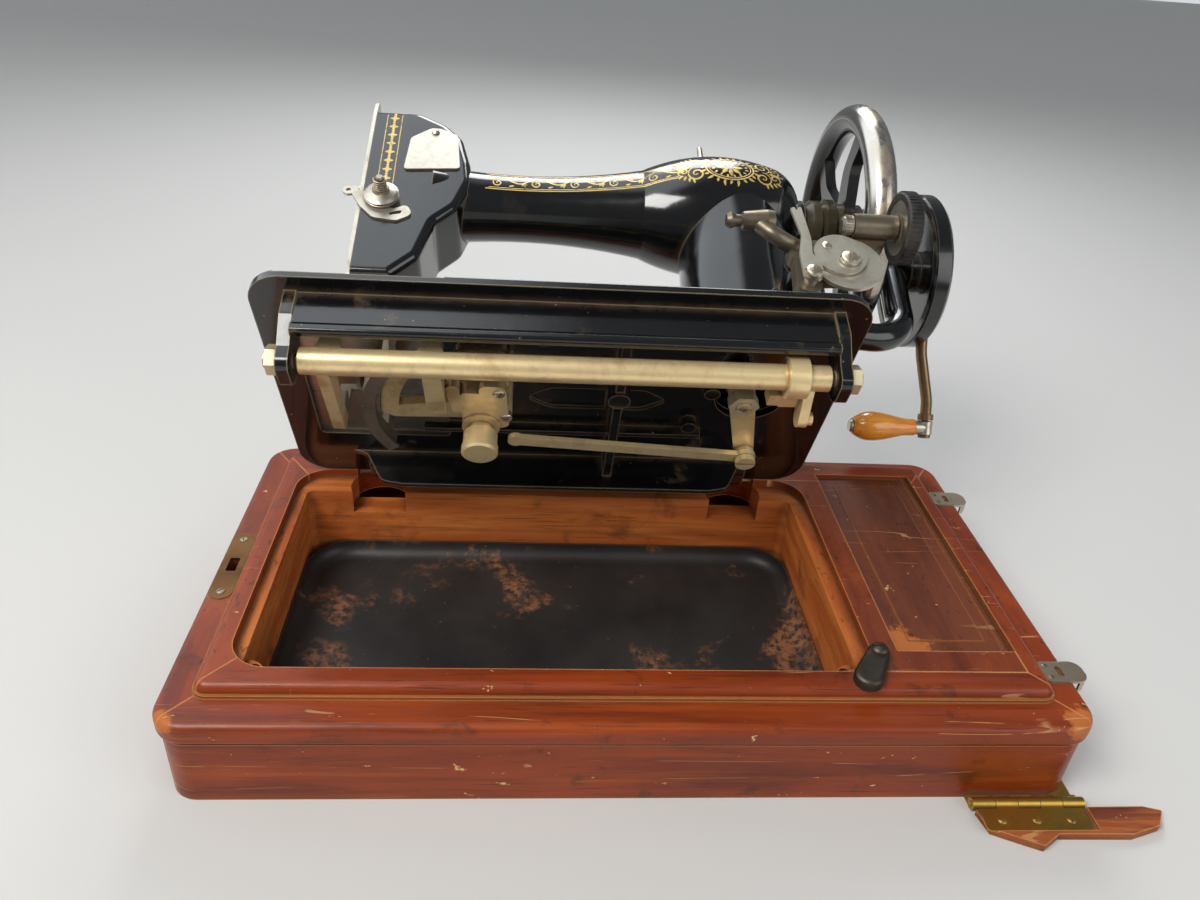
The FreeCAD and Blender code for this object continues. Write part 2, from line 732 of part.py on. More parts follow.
def turn_button():
    """Pear-shaped cast button that holds the bed down."""
    px, py = BUTTON_PIVOT
    turn = math.radians(BUTTON_ANGLE)
    tip = (px + (BUTTON_REACH - 6.5) * math.cos(turn),
           py + (BUTTON_REACH - 6.5) * math.sin(turn))
    z0 = TOP_Z + 0.4
    body = link((px, py), tip, 5.6, 7.0, on_xy(z0), Vec(0, 0, BUTTON_THICKNESS))
    crown = [e for e in body.Edges
             if abs(e.BoundBox.ZMin - z0 - BUTTON_THICKNESS) < 1e-4]
    body = body.makeFillet(2.0, crown)
    return body.cut(rod(Vec(px, py, z0 - 1), Vec(px, py, z0 + 20), 2.0 + PIN_FIT))


def turn_button_screw():
    """Round-headed screw that the button turns on."""
    px, py = BUTTON_PIVOT
    z0 = TOP_Z + 0.4 + BUTTON_THICKNESS
    shank = rod(Vec(px, py, TOP_Z - 12), Vec(px, py, z0 + 0.3), 2.0)
    head = turned([(0.2, 4.2), (1.2, 4.2), (2.3, 3.2), (2.9, 1.6), (3.1, 0)],
                  Vec(px, py, z0), Vec(0, 0, 1))
    slot = block(px - 6, px + 6, py - 0.5, py + 0.5, z0 + 2.0, z0 + 5)
    return fuse(shank, head).cut(slot)


def butt_hinge():
    """Brass butt under the front edge with its broken length of moulding."""
    y = -HALF_D - BUTT_RADIUS - 1.4
    z = BUTT_RADIUS + 0.1
    length = BUTT_X1 - BUTT_X0
    step = length / 5
    pin = rod(Vec(BUTT_X0 - 0.6, y, z), Vec(BUTT_X1 + 0.6, y, z), BUTT_PIN)
    fixed_parts, swing_parts = [], []
    for k in range(5):
        a = BUTT_X0 + k * step + (0.15 if k else 0.0)
        b = BUTT_X0 + (k + 1) * step - (0.15 if k < 4 else 0.0)
        barrel = rod(Vec(a, y, z), Vec(b, y, z), BUTT_RADIUS)
        if k % 2 == 0:
            foot = block(a, b, y, -HALF_D + 1.8, 0.1, 0.1 + BUTT_LEAF)
            fixed_parts.append(fuse(barrel, foot))
        else:
            tongue = block(a, b, y - BUTT_RADIUS - 1.0, y, z, z + BUTT_LEAF)
            swing_parts.append(fuse(barrel, tongue))
    bore = rod(Vec(BUTT_X0 - 1, y, z), Vec(BUTT_X1 + 1, y, z), BUTT_PIN + PIN_FIT)
    leaf = block(BUTT_X0 + 2.2, BUTT_X1 - 2.2, -HALF_D + 1.6, -HALF_D + 14.6,
                 0.1, 0.1 + BUTT_LEAF, [0, 0, 2, 2])
    fixed = fuse(leaf, pin, *fixed_parts)
    wing = block(BUTT_X0 + 2.2, BUTT_X1 - 2.2, y - FLAP_DEPTH + 5.0,
                 y - BUTT_RADIUS - 0.9, z, z + BUTT_LEAF, [2, 2, 0, 0])
    swing = fuse(wing, *swing_parts).cut(bore)
    edge = y - BUTT_RADIUS - 0.5
    wood = slab([(BUTT_X0 + 1, edge), (BUTT_X0 + 4, edge - FLAP_DEPTH * 0.55),
                 (BUTT_X0 + 16, edge - FLAP_DEPTH * 0.8),
                 (BUTT_X0 + 26, edge - FLAP_DEPTH), (BUTT_X0 + 36, edge - FLAP_DEPTH * 0.7),
                 (FLAP_END_X - 22, edge - FLAP_DEPTH * 0.72),
                 (FLAP_END_X - 6, edge - FLAP_DEPTH * 0.5),
                 (FLAP_END_X, edge - 2.0), (FLAP_END_X - 9, edge + 0.4)],
                0.8, on_xy(0.1), Vec(0, 0, FLAP_THICKNESS))
    seat_cut = block(BUTT_X0 - 1, BUTT_X1 + 0.2, y - FLAP_DEPTH + 4.8, edge + 1,
                     z, FLAP_THICKNESS + 3)
    wood = wood.cut(seat_cut)
    return fixed, swing, wood


# Machine bed

def bed():
    """Cast bed with its front rib, rear rim, cross web, lugs and hinge eyes."""
    plate = slab(rect(BED_X0, BED_X1, 0, BED_WIDTH), BED_CORNER, on_xv(0),
                 Vec(0, 0, BED_THICKNESS))
    top = [e for e in plate.Edges if abs(e.BoundBox.ZMin - BED_THICKNESS) < 1e-4]
    plate = plate.makeFillet(1.4, top)
    left, right = ROCK_X0 - 3.0, ROCK_X1 + 3.0
    rib = slab([(RIB_V, 0.5), (RIB_V, -RIB_DEPTH), (RIB_V + RIB_THICKNESS + 1.2, -RIB_DEPTH),
                (RIB_V + RIB_THICKNESS + 1.2, -RIB_DEPTH + 4),
                (RIB_V + RIB_THICKNESS, -RIB_DEPTH + 6), (RIB_V + RIB_THICKNESS, 0.5)],
               [0, 1.2, 2.0, 1.5, 1.5, 0], on_vw(left), Vec(right - left, 0, 0))
    x0, x1 = RIM_ENDS
    rim = slab([(x0, 0.5), (x0 + 10, -2.0), (x0 + 20, -RIM_DEPTH + 2),
                (x0 + 32, -RIM_DEPTH), (x1 - 32, -RIM_DEPTH),
                (x1 - 20, -RIM_DEPTH + 2), (x1 - 10, -2.0), (x1, 0.5)],
               [0, 7, 7, 12, 12, 7, 7, 0], on_xw(RIM_V), Vec(0, -RIM_THICKNESS, 0))
    web = mbox(WEB_X - WEB_THICKNESS / 2, WEB_X + WEB_THICKNESS / 2,
               RIM_V + 1, RIB_V + 1, -WEB_DEPTH, 0.5)
    boss = mrod((WEB_X, 98, 0.5), (WEB_X, 98, -WEB_DEPTH - 2), 6.0)
    rear_web = mbox(FINGER_XS[0] + 30, FINGER_XS[1] - 30, 52.0, 55.0, -6.0, 0.5)
    body = fuse(plate, rib, rim, web, boss, rear_web)
    for x in (36.0, 44.0):
        body = body.fuse(mrod((x, 62 + (x - 36) * 4, 0.5), (x, 62 + (x - 36) * 4, -6), 4.5))
    body = body.fuse(mrod((LEVER_TOP[0], LEVER_TOP[1], 0.5),
                          (LEVER_TOP[0], LEVER_TOP[1], LEVER_W + LEVER_THICKNESS + 1), 8.0))
    for x in (left - LUG_THICKNESS, right):
        lug = slab([(RIB_V + 5, 0.5), (RIB_V + 5, -14.0),
                    (ROCK_V + LUG_RADIUS, ROCK_W), (ROCK_V + LUG_RADIUS - 2, ROCK_W - LUG_RADIUS),
                    (ROCK_V - LUG_RADIUS + 2, ROCK_W - LUG_RADIUS),
                    (ROCK_V - LUG_RADIUS, ROCK_W), (ROCK_V - 2, -12.0), (ROCK_V + 4, 0.5)],
                   [0, 4, 4, 6, 6, 4, 6, 0], on_vw(x), Vec(LUG_THICKNESS, 0, 0))
        body = body.fuse(lug)
        body = body.cut(mrod((x - 1, ROCK_V, ROCK_W), (x + LUG_THICKNESS + 1, ROCK_V, ROCK_W),
                             PIVOT_SCREW_RADIUS))
    for x in FINGER_XS:
        body = body.fuse(hinge_finger(x))
    body = body.removeSplitter()
    opening = slab(rect(PLATE_X0 + PLATE_LIP, PLATE_X1 - PLATE_LIP,
                        PLATE_V0 + PLATE_LIP, PLATE_V1 - PLATE_LIP), 3.0,
                   on_xv(-1), Vec(0, 0, BED_THICKNESS + 2))
    rebate = mbox(PLATE_X0, PLATE_X1, PLATE_V0, BED_WIDTH + 1,
                  BED_THICKNESS - PLATE_THICKNESS, BED_THICKNESS + 1)
    body = body.cut(opening).cut(rebate)
    oval = slab([(-58, 79), (-44, 70), (8, 70), (22, 79), (8, 88), (-44, 88)],
                [3, 12, 12, 3, 12, 12], on_xv(-1), Vec(0, 0, 3.0))
    oval = oval.cut(mbox(WEB_X - WEB_THICKNESS, WEB_X + WEB_THICKNESS, 60, 100, -2, 4))
    body = body.cut(oval)
    body = body.cut(mrod((PILLAR_X, ARM_V, -1), (PILLAR_X, ARM_V, BED_THICKNESS + 1),
                         HOLLOW_RADIUS))
    for tool in carrier_holes():
        body = body.cut(tool)
    return body


def carrier_holes():
    """Bore of the shuttle shaft in the bed."""
    return [mrod((CARRIER_X, CARRIER_V, -1), (CARRIER_X, CARRIER_V, 3.0),
                 CARRIER_SHAFT + PIN_FIT)]


def hinge_finger(x):
    """Finger under the rear edge of the bed with the eye for its pin."""
    eye_v, eye_w = -HINGE_BEHIND_BED, HINGE_ABOVE_UNDERSIDE
    place = on_vw(x - FINGER_WIDTH / 2)
    rise = Vec(FINGER_WIDTH, 0, 0)
    body = slab([(17, 0.3), (0.2, 0.3), (0.2, 3.4), (eye_v + 1, eye_w + 3.0),
                 (eye_v - 1.0, eye_w - 2.6), (-1.0, -4.0), (4, -6.0), (14, -6.0), (18, -3)],
                [0, 0, 0, 0, 0.5, 3, 3, 3, 1], place, rise)
    eye = mrod((x - FINGER_WIDTH / 2, eye_v, eye_w), (x + FINGER_WIDTH / 2, eye_v, eye_w),
               HINGE_EYE_RADIUS)
    bore = mrod((x - FINGER_WIDTH, eye_v, eye_w), (x + FINGER_WIDTH, eye_v, eye_w),
                HINGE_PIN_RADIUS + HINGE_FIT)
    return body.fuse(eye).cut(bore)


def slide_plates():
    """Needle plate and the front and rear slide plates, flush in the bed."""
    w0 = BED_THICKNESS - PLATE_THICKNESS
    g = PLATE_GAP
    rise = Vec(0, 0, PLATE_THICKNESS)
    middle = slab(rect(PLATE_X0 + g, PLATE_X1 - g, NEEDLE_PLATE_V0 + g / 2,
                       NEEDLE_PLATE_V1 - g / 2), 0.4, on_xv(w0), rise)
    middle = middle.cut(mrod((NEEDLE_X, NEEDLE_V, 0), (NEEDLE_X, NEEDLE_V, 9), 1.6))
    for x in (NEEDLE_X - 5.5, NEEDLE_X + 2.5):
        middle = middle.cut(slab(rect(x, x + 3.0, NEEDLE_V - 14, NEEDLE_V + 9), 0.4,
                                 on_xv(0), Vec(0, 0, 9)))
    front = slab(rect(PLATE_X0 + g, PLATE_X1 - g, NEEDLE_PLATE_V1 + g / 2,
                      PLATE_V1 - g), 0.6, on_xv(w0 + SLIDE_FIT),
                 Vec(0, 0, PLATE_THICKNESS - SLIDE_FIT))
    front = front.cut(slab(rect(-117, -107, 138, 145), 3.0, on_xv(0), Vec(0, 0, 9)))
    rear = slab(rect(PLATE_X0 + g, PLATE_X1 - g, PLATE_V0 + g,
                     NEEDLE_PLATE_V0 - g / 2), 0.6, on_xv(w0), rise)
    return middle, front, rear


# Rock shaft and feed

def rock_shaft():
    """Long shaft between centres with its clamp arms."""
    shaft = mrod((ROCK_X0, ROCK_V, ROCK_W), (ROCK_X1, ROCK_V, ROCK_W), ROCK_RADIUS)
    body = shaft
    for x in (-152.0, -104.0):
        horn = slab([(x - 7, ROCK_W + 3), (x + 7, ROCK_W + 3), (x + 4, ROCK_W + 12),
                     (x + 4, -4), (x - 4, -4), (x - 4, ROCK_W + 12)],
                    [0, 0, 4, 1.5, 1.5, 4], on_xw(ROCK_V - 4), Vec(0, -8, 0))
        body = body.fuse(horn)
    for x, width, far in ((-154.0, 6.0, 84.0), (-103.0, 9.0, 100.0)):
        arm = slab([(ROCK_V, ROCK_W - 6), (ROCK_V, ROCK_W + 6), (far + 4, ROCK_W + 8),
                    (far, ROCK_W + 8), (far, ROCK_W - 1)],
                   [0, 0, 4, 2, 4], on_vw(x - width / 2), Vec(width, 0, 0))
        body = body.fuse(arm)
    centre = turned([(0, 3.4), (3.4, 0)], mp(ROCK_X0, ROCK_V, ROCK_W), Vec(1, 0, 0))
    body = body.cut(centre)
    centre = turned([(0, 3.4), (3.4, 0)], mp(ROCK_X1, ROCK_V, ROCK_W), Vec(-1, 0, 0))
    body = body.cut(centre)
    return fuse(body, rock_clamp())


def pivot_screws():
    """Pointed pivot screws through the lugs with their hexagon lock nuts."""
    shapes = []
    for end, way in ((ROCK_X0, -1), (ROCK_X1, 1)):
        tip = mp(end - way * 1.7, ROCK_V, ROCK_W)
        reach = ROCK_END_PLAY + 3.0 + LUG_THICKNESS + NUT_HEIGHT + PIVOT_SCREW_STUB
        screw = turned([(0, 0), (1.2, 1.2), (3.9, 2.2), (3.9, PIVOT_SCREW_RADIUS - 0.02),
                        (reach, PIVOT_SCREW_RADIUS - 0.02)], tip, Vec(way, 0, 0))
        face = end + way * (3.0 + LUG_THICKNESS)
        nut = hexagon(NUT_FLATS, (ROCK_V, ROCK_W), on_vw(face),
                      Vec(way * NUT_HEIGHT, 0, 0))
        shapes.append(fuse(screw, nut))
    return Part.makeCompound(shapes + [lever_stud()])


def rock_clamp():
    """Clamp and small crank at the right end of the rock shaft."""
    ring = mrod((70, ROCK_V, ROCK_W), (80, ROCK_V, ROCK_W), ROCK_RADIUS + 4)
    ear = mbox(70, 80, ROCK_V - 19, ROCK_V, ROCK_W - 4, ROCK_W + 4)
    nut = mbox(64, 70, ROCK_V - 18, ROCK_V - 10, ROCK_W - 4, ROCK_W + 4)
    lever = link((ROCK_V - 6, ROCK_W - 2), (ROCK_V - 23, ROCK_W - 8), 4.0, 4.6,
                 on_vw(80), Vec(5, 0, 0))
    pin = mrod((85, ROCK_V - 23, ROCK_W - 8), (88, ROCK_V - 23, ROCK_W - 8), 3.4)
    return fuse(ring, ear, nut, lever, pin)


def feed_dog():
    """Feed bar head with two toothed strips either side of the needle."""
    w_top = BED_THICKNESS - FEED_DROP
    base_w = ROCK_W + 8.0
    x0, x1 = NEEDLE_X - 14.0, NEEDLE_X - 8.0
    foot = mbox(x0, x1, NEEDLE_V - 8, NEEDLE_V + 4, base_w, -4.4)
    fork = mbox(x0 - 3, x1 + 1, NEEDLE_V - 4, NEEDLE_V + 8, -12, 0)
    table = mbox(x0, NEEDLE_X + 5.3, NEEDLE_V - 12, NEEDLE_V - 5, -4.4, -1)
    body = fuse(foot.cut(fork), table)
    for x in (NEEDLE_X - 5.0, NEEDLE_X + 3.0):
        strip = mbox(x, x + 2.0, NEEDLE_V - 12, NEEDLE_V + 6, -3, w_top)
        for k in range(7):
            v = NEEDLE_V - 11.5 + k * 2.5
            notch = slab([(v, w_top + 0.5), (v + 1.6, w_top + 0.5), (v + 0.2, w_top - 0.9)],
                         0.0, on_vw(x - 1), Vec(4, 0, 0))
            strip = strip.cut(notch)
        body = body.fuse(strip)
    return body.removeSplitter()


# Shuttle drive

def carrier_bracket():
    """Cast bracket screwed under the bed, sleeve for the shuttle shaft."""
    w_face = -24.0
    foot = slab([(-96, 118), (-68, 118), (-66, 80), (-74, 74), (-94, 78)],
                [6, 5, 4, 4, 6], on_xv(-6.0), Vec(0, 0, 6.0))
    column = slab([(-92, 112), (-76, 112), (-72, 84), (-90, 84)],
                  [4, 3, 3, 4], on_xv(w_face), Vec(0, 0, -w_face))
    wing = slab([(-82, 118), (-68, 118), (-66, 84), (-78, 80)],
                [4, 5, 4, 4], on_xv(w_face), Vec(0, 0, 4.0))
    posts = []
    for x, v in ((-71.5, 112), (-67.6, 92)):
        posts.append(mrod((x, v, w_face + 3), (x, v, -1), 3.0))
    sleeve = mrod((CARRIER_X, CARRIER_V, w_face - 1.9), (CARRIER_X, CARRIER_V, -16.0),
                  CARRIER_BOSS)
    hook = link((-95, 114), (-93, 98), 3.5, 2.6, on_xv(w_face), Vec(0, 0, 8.0))
    body = fuse(foot, column, wing, sleeve, hook, *posts)
    body = body.cut(mrod((CARRIER_X, CARRIER_V, -40), (CARRIER_X, CARRIER_V, 1),
                         CARRIER_SHAFT + PIN_FIT))
    swing = slab([(-71.0, 70), (-71.0, 98), (-105, 108), (-105, 60)], 0.0,
                 on_xv(-15.6), Vec(0, 0, 9.2))
    return body.cut(swing)


def shuttle_carrier():
    """Shuttle shaft with its end cap and the arm that carries the shuttle."""
    shaft = mrod((CARRIER_X, CARRIER_V, -43.0), (CARRIER_X, CARRIER_V, 2.5),
                 CARRIER_SHAFT)
    cap = turned([(0, 0), (0, 8.2), (1.0, 9.6), (4.5, 9.6), (5.0, 9.0), (12.5, 9.0)],
                 mp(CARRIER_X, CARRIER_V, -43.0), Vec(0, 0, 1))
    hub = mrod((CARRIER_X, CARRIER_V, -15.2), (CARRIER_X, CARRIER_V, -6.8), 9.6)
    arm = link((CARRIER_X, CARRIER_V), (CARRIER_X - 46, CARRIER_V - 4), 8.0, 5.0,
               on_xv(-13.5), Vec(0, 0, 5.0))
    horns = sector(RACE_RADIUS - 14, RACE_RADIUS - 4.5, 172, 216, -13.5, 6.0)
    body = fuse(shaft, cap, hub, arm, horns)
    return body


def sector(r0, r1, a0, a1, w, height):
    """Part of a ring about the shuttle shaft, angles from +x towards the front."""
    edges = []

    def at(radius, angle):
        turn = math.radians(angle)
        return on_xv(w)(CARRIER_X + radius * math.cos(turn),
                        CARRIER_V - radius * math.sin(turn))

    mid = (a0 + a1) / 2
    edges.append(Part.Arc(at(r1, a0), at(r1, mid), at(r1, a1)).toShape())
    edges.append(Part.LineSegment(at(r1, a1), at(r0, a1)).toShape())
    edges.append(Part.Arc(at(r0, a1), at(r0, mid), at(r0, a0)).toShape())
    edges.append(Part.LineSegment(at(r0, a0), at(r1, a0)).toShape())
    return Part.Face(Part.Wire(edges)).extrude(Vec(0, 0, height))


def shuttle_race():
    """Curved race that the shuttle runs along."""
    rail = sector(RACE_RADIUS + 0.6, RACE_RADIUS + RACE_WIDTH, 146, 224, -17.4, 10.0)
    flange = sector(RACE_RADIUS - 2.0, RACE_RADIUS + RACE_WIDTH, 146, 224, -18.6, 1.6)
    hang = []
    for angle in (150.0, 218.0):
        hang.append(sector(RACE_RADIUS + 0.6, RACE_RADIUS + RACE_WIDTH, angle,
                           angle + 5, -8.0, 8.0))
    slot = mbox(NEEDLE_X - NEEDLE_SLOT, NEEDLE_X + NEEDLE_SLOT / 2,
                NEEDLE_V - NEEDLE_SLOT / 2, NEEDLE_V + NEEDLE_SLOT / 2, -20.0, 0.0)
    return fuse(rail, flange, *hang).cut(slot)


def shuttle():
    """Boat shuttle lying in the carrier against the race."""
    body = sector(RACE_RADIUS - 4.1, RACE_RADIUS + 0.2, 178, 210, -15.6, 8.0)
    return body


def shuttle_lever():
    """Lever between the arm shaft and the pitman, on a stud under the bed."""
    w0 = LEVER_W
    body = link(LEVER_TOP, LEVER_END, LEVER_WIDTH / 2 + 1.5, LEVER_WIDTH / 2,
                on_xv(w0), Vec(0, 0, LEVER_THICKNESS))
    end = mrod((LEVER_END[0], LEVER_END[1], w0 - 2.0),
               (LEVER_END[0], LEVER_END[1], w0 + LEVER_THICKNESS), LEVER_WIDTH / 2)
    stud = mrod((LEVER_END[0], LEVER_END[1], w0 - 5.8), (LEVER_END[0], LEVER_END[1], w0),
                3.0)
    head = mrod((LEVER_END[0], LEVER_END[1], w0 - 9.0), (LEVER_END[0], LEVER_END[1], w0 - 5.6),
                5.6)
    slot = mbox(LEVER_END[0] - 8, LEVER_END[0] + 8, LEVER_END[1] - 0.6, LEVER_END[1] + 0.6,
                w0 - 10, w0 - 8)
    body = fuse(body, end, stud, head).cut(slot)
    return body.cut(mrod((LEVER_TOP[0], LEVER_TOP[1], w0 - 3), (LEVER_TOP[0], LEVER_TOP[1], 0),
                         4.0 + PIN_FIT))


def lever_stud():
    """Fixed stud, washer and hexagon nut that the lever turns on."""
    x, v = LEVER_TOP
    top = LEVER_W + LEVER_THICKNESS + 1.0
    stud = mrod((x, v, LEVER_W - 8.0), (x, v, top), 4.0)
    nut = hexagon(14.0, (x, v), on_xv(LEVER_W - 6.4), Vec(0, 0, 6.0))
    slot = mbox(x - 6, x + 6, v - 0.7, v + 0.7, LEVER_W - 9, LEVER_W - 7)
    return fuse(stud, nut).cut(slot)


def pitman():
    """Flat connecting bar from the lever to the shuttle shaft."""
    w1 = LEVER_W - 2.4
    place = on_xv(w1 - PITMAN_THICKNESS)
    rise = Vec(0, 0, PITMAN_THICKNESS)
    x1, v1 = LEVER_END
    x0, v0 = PITMAN_END
    bar = link((x0, v0), (x1, v1), PITMAN_WIDTH / 2, PITMAN_WIDTH / 2, place, rise)
    eye = mrod((x1, v1, w1 - PITMAN_THICKNESS), (x1, v1, w1), 6.0)
    toe = mrod((x0, v0, w1 - PITMAN_THICKNESS), (x0, v0, w1), 4.2)
    bar = fuse(bar, eye, toe)
    return bar.cut(mrod((x1, v1, w1 - 9), (x1, v1, w1 + 2), 3.0 + PIN_FIT))


# Arm, pillar and head

def arm_core():
    """Hollow of the casting: pillar, arm tube and the room behind the face plate."""
    wall = CASTING_WALL
    tube = turned([(-4.0, 22.0 - wall), (30.0, 20.6 - wall), (104.0, 27.6 - wall),
                   (158.0, 38.2 - wall), (184.0, 32.0 - wall), (196.0, 18.0 - wall)],
                  mp(ARM_X0, ARM_V, ARM_W), Vec(1, 0, 0))
    shaft = turned([(0, HOLLOW_RADIUS), (8, HOLLOW_RADIUS), (12, 30.0 - wall / 2),
                    (45, 33.0 - wall), (100, 33.5 - wall), (ARM_W - BED_THICKNESS, 33.5 - wall)],
                   mp(PILLAR_X, ARM_V, BED_THICKNESS - 1), Vec(0, 0, 1))
    room = mbox(HEAD_X0 - 1, -111.0, HEAD_V0 + HEAD_WALL, HEAD_V1 - HEAD_WALL, 112.0, 192.0)
    return fuse(tube, shaft, room)


def arm():
    """Hollow-footed pillar, round arm and squared head in one casting."""
    bulge = arc_turned([(-26.0, 24.2), (30.0, 20.6), (104.0, 27.6), (158.0, 38.2),
                        (190.0, 32.0), (200.0, 24.0), (205.0, 12.0)],
                       mp(ARM_X0, ARM_V, ARM_W), Vec(1, 0, 0))
    rings = []
    for w, rx, rv, shift in ((BED_THICKNESS, 44, 40, -1), (14, 39.5, 36.5, 0),
                             (50, 34.5, 33, 1), (100, 35, 34, 2), (144, 36.5, 36.5, 0)):
        ring = Part.Ellipse(Vec(0, 0, 0), rx, rv)
        ring.Center = mp(PILLAR_X + shift, ARM_V, w)
        rings.append(Part.Wire([ring.toShape()]))
    pillar = Part.makeLoft(rings, True, False)
    head = slab([(HEAD_X0, HEAD_BOTTOM), (-136, HEAD_BOTTOM), (-121, 78), (-114, 106),
                 (-101, 120), (-94, 143), (-96, 160), (-102, 184), (-113, 197),
                 (-130, HEAD_TOP), (HEAD_X0, HEAD_TOP)],
                [0, 3, 8, 10, 14, 16, 16, 10, 14, 10, 0],
                on_xw(HEAD_V0), Vec(0, -(HEAD_V1 - HEAD_V0), 0))
    edges = []
    for e in head.Edges:
        box = e.BoundBox
        flat = box.YLength < 1e-4
        if flat and box.XMax > HEAD_X0 + 1.0:
            edges.append(e)
    head = head.makeFillet(HEAD_ROUND, edges)
    body = pillar.fuse(bulge).fuse(head)
    body = body.fuse(mrod((100, WHEEL_V, WHEEL_W), (116, WHEEL_V, WHEEL_W), 16.0))
    body = body.fuse(mrod((80, 88, 49), (BRACKET_X, 88, 49), 13.5))
    body = body.removeSplitter().cut(arm_core())
    body = body.cut(mrod((ARM_SHAFT_X0 - 5, WHEEL_V, WHEEL_W), (120, WHEEL_V, WHEEL_W),
                         AXLE_RADIUS + AXLE_FIT))
    body = fuse(body, winder_post(), lifter_pin())
    body = body.cut(mrod((NEEDLE_X, NEEDLE_V, HEAD_BOTTOM - 1), (NEEDLE_X, NEEDLE_V, 160),
                         NEEDLE_BAR_RADIUS + PIN_FIT))
    body = body.cut(mrod((PRESSER_X, PRESSER_V, HEAD_BOTTOM - 1), (PRESSER_X, PRESSER_V, 150),
                         PRESSER_BAR_RADIUS + PIN_FIT))
    body = body.cut(mrod((SPOOL_PIN_X, ARM_V, 170), (SPOOL_PIN_X, ARM_V, 190), 2.1))
    body = body.cut(mrod((TENSION_X, HEAD_V1 - 8, TENSION_W), (TENSION_X, HEAD_V1 + 2, TENSION_W),
                         2.6))
    return body


def face_plate():
    """End plate of the head with its rounded upper ear."""
    plate = slab([(HEAD_V0 + 1, HEAD_BOTTOM - 2), (HEAD_V1 - 2, HEAD_BOTTOM - 2),
                  (HEAD_V1 - 0.2, HEAD_BOTTOM + 8), (HEAD_V1 - 0.2, HEAD_TOP - 2),
                  (HEAD_V1 - 2, HEAD_TOP + 12), (HEAD_V1 - 14, HEAD_TOP + 12),
                  (HEAD_V1 - 17, HEAD_TOP + 1), (HEAD_V0 + 1, HEAD_TOP + 1)],
                 [4, 3, 3, 2, 5, 5, 3, 6], on_vw(HEAD_X0 - FACE_PLATE), Vec(FACE_PLATE, 0, 0))
    return fuse(plate, take_up_pin())


def head_cover():
    """Shield-shaped cover plate on the front of the head with its screw."""
    plate = slab([(-134, 179), (-122, 189), (-116, 189), (-105, 183), (-102, 152), (-136, 149)],
                 [5, 4, 4, 5, 2, 2], on_xw(HEAD_V1 + 0.05), Vec(0, -1.3, 0))
    screw = turned([(0, 2.3), (1.0, 2.3), (1.8, 1.2), (2.0, 0)],
                   mp(-119, HEAD_V1 + 1.3, 185), Vec(0, -1, 0))
    return fuse(plate, screw)


def needle_bar():
    """Needle bar with its clamp collar, and the needle set in its end."""
    bar = mrod((NEEDLE_X, NEEDLE_V, NEEDLE_SEAT_W), (NEEDLE_X, NEEDLE_V, 158),
               NEEDLE_BAR_RADIUS)
    collar_w = NEEDLE_SEAT_W + 6
    collar = mrod((NEEDLE_X, NEEDLE_V, collar_w - 4), (NEEDLE_X, NEEDLE_V, collar_w + 4), 5.2)
    screw = mrod((NEEDLE_X - 9, NEEDLE_V, collar_w), (NEEDLE_X, NEEDLE_V, collar_w), 2.2)
    length = NEEDLE_SEAT_W - NEEDLE_TIP_W
    needle = turned([(0, 0), (4, NEEDLE_BLADE), (length - 4, NEEDLE_BLADE),
                     (length - 2, NEEDLE_SHANK), (length, NEEDLE_SHANK)],
                    mp(NEEDLE_X, NEEDLE_V, NEEDLE_TIP_W), Vec(0, 0, 1))
    return Part.makeCompound([fuse(bar, collar, screw), needle])


def presser_foot():
    """Two-toed foot whose shank is bored for the presser bar."""
    w0 = BED_THICKNESS + 0.4
    shank = mbox(PRESSER_X - 5, PRESSER_X + 5, PRESSER_V - 5, PRESSER_V + 5, w0 + 3, w0 + 20)
    bore = mrod((PRESSER_X, PRESSER_V, FOOT_SEAT_W), (PRESSER_X, PRESSER_V, w0 + 21),
                PRESSER_BAR_RADIUS + PIN_FIT)
    sole = slab([(NEEDLE_X - 6, PRESSER_V - 6), (NEEDLE_X + 6, PRESSER_V - 6),
                 (NEEDLE_X + 6, NEEDLE_V + 10), (NEEDLE_X + 2, NEEDLE_V + 12),
                 (NEEDLE_X + 2, NEEDLE_V - 4), (NEEDLE_X - 2, NEEDLE_V - 4),
                 (NEEDLE_X - 2, NEEDLE_V + 12), (NEEDLE_X - 6, NEEDLE_V + 10)],
                [2, 2, 1.5, 0.5, 1.5, 1.5, 0.5, 1.5], on_xv(w0), Vec(0, 0, 1.4))
    neck = slab([(PRESSER_V - 4, w0 + 1), (PRESSER_V + 8, w0 + 1), (PRESSER_V + 4, w0 + 6),
                 (PRESSER_V - 4, w0 + 6)], 0.6, on_vw(NEEDLE_X - 5.5), Vec(6, 0, 0))
    return fuse(shank, sole, neck).cut(bore)


def presser_bar():
    """Presser bar seated in the shank of its foot."""
    bar = mrod((PRESSER_X, PRESSER_V, FOOT_SEAT_W), (PRESSER_X, PRESSER_V, 142),
               PRESSER_BAR_RADIUS)
    return Part.makeCompound([bar, presser_foot()])


def presser_lifter():
    """Cam lever behind the head that lifts the presser bar."""
    w = 92.0
    v1 = HEAD_V0 - 0.4
    hub = mrod((PRESSER_X, v1, w), (PRESSER_X, v1 - 6, w), 6.0)
    lever = link((PRESSER_X, w), (PRESSER_X + 26, w - 12), 5.0, 3.4, on_xw(v1 - 6),
                 Vec(0, -4.0, 0))
    return fuse(hub, lever).cut(
        mrod((PRESSER_X, v1 + 1, w), (PRESSER_X, v1 - 8, w), 2.4 + PIN_FIT))


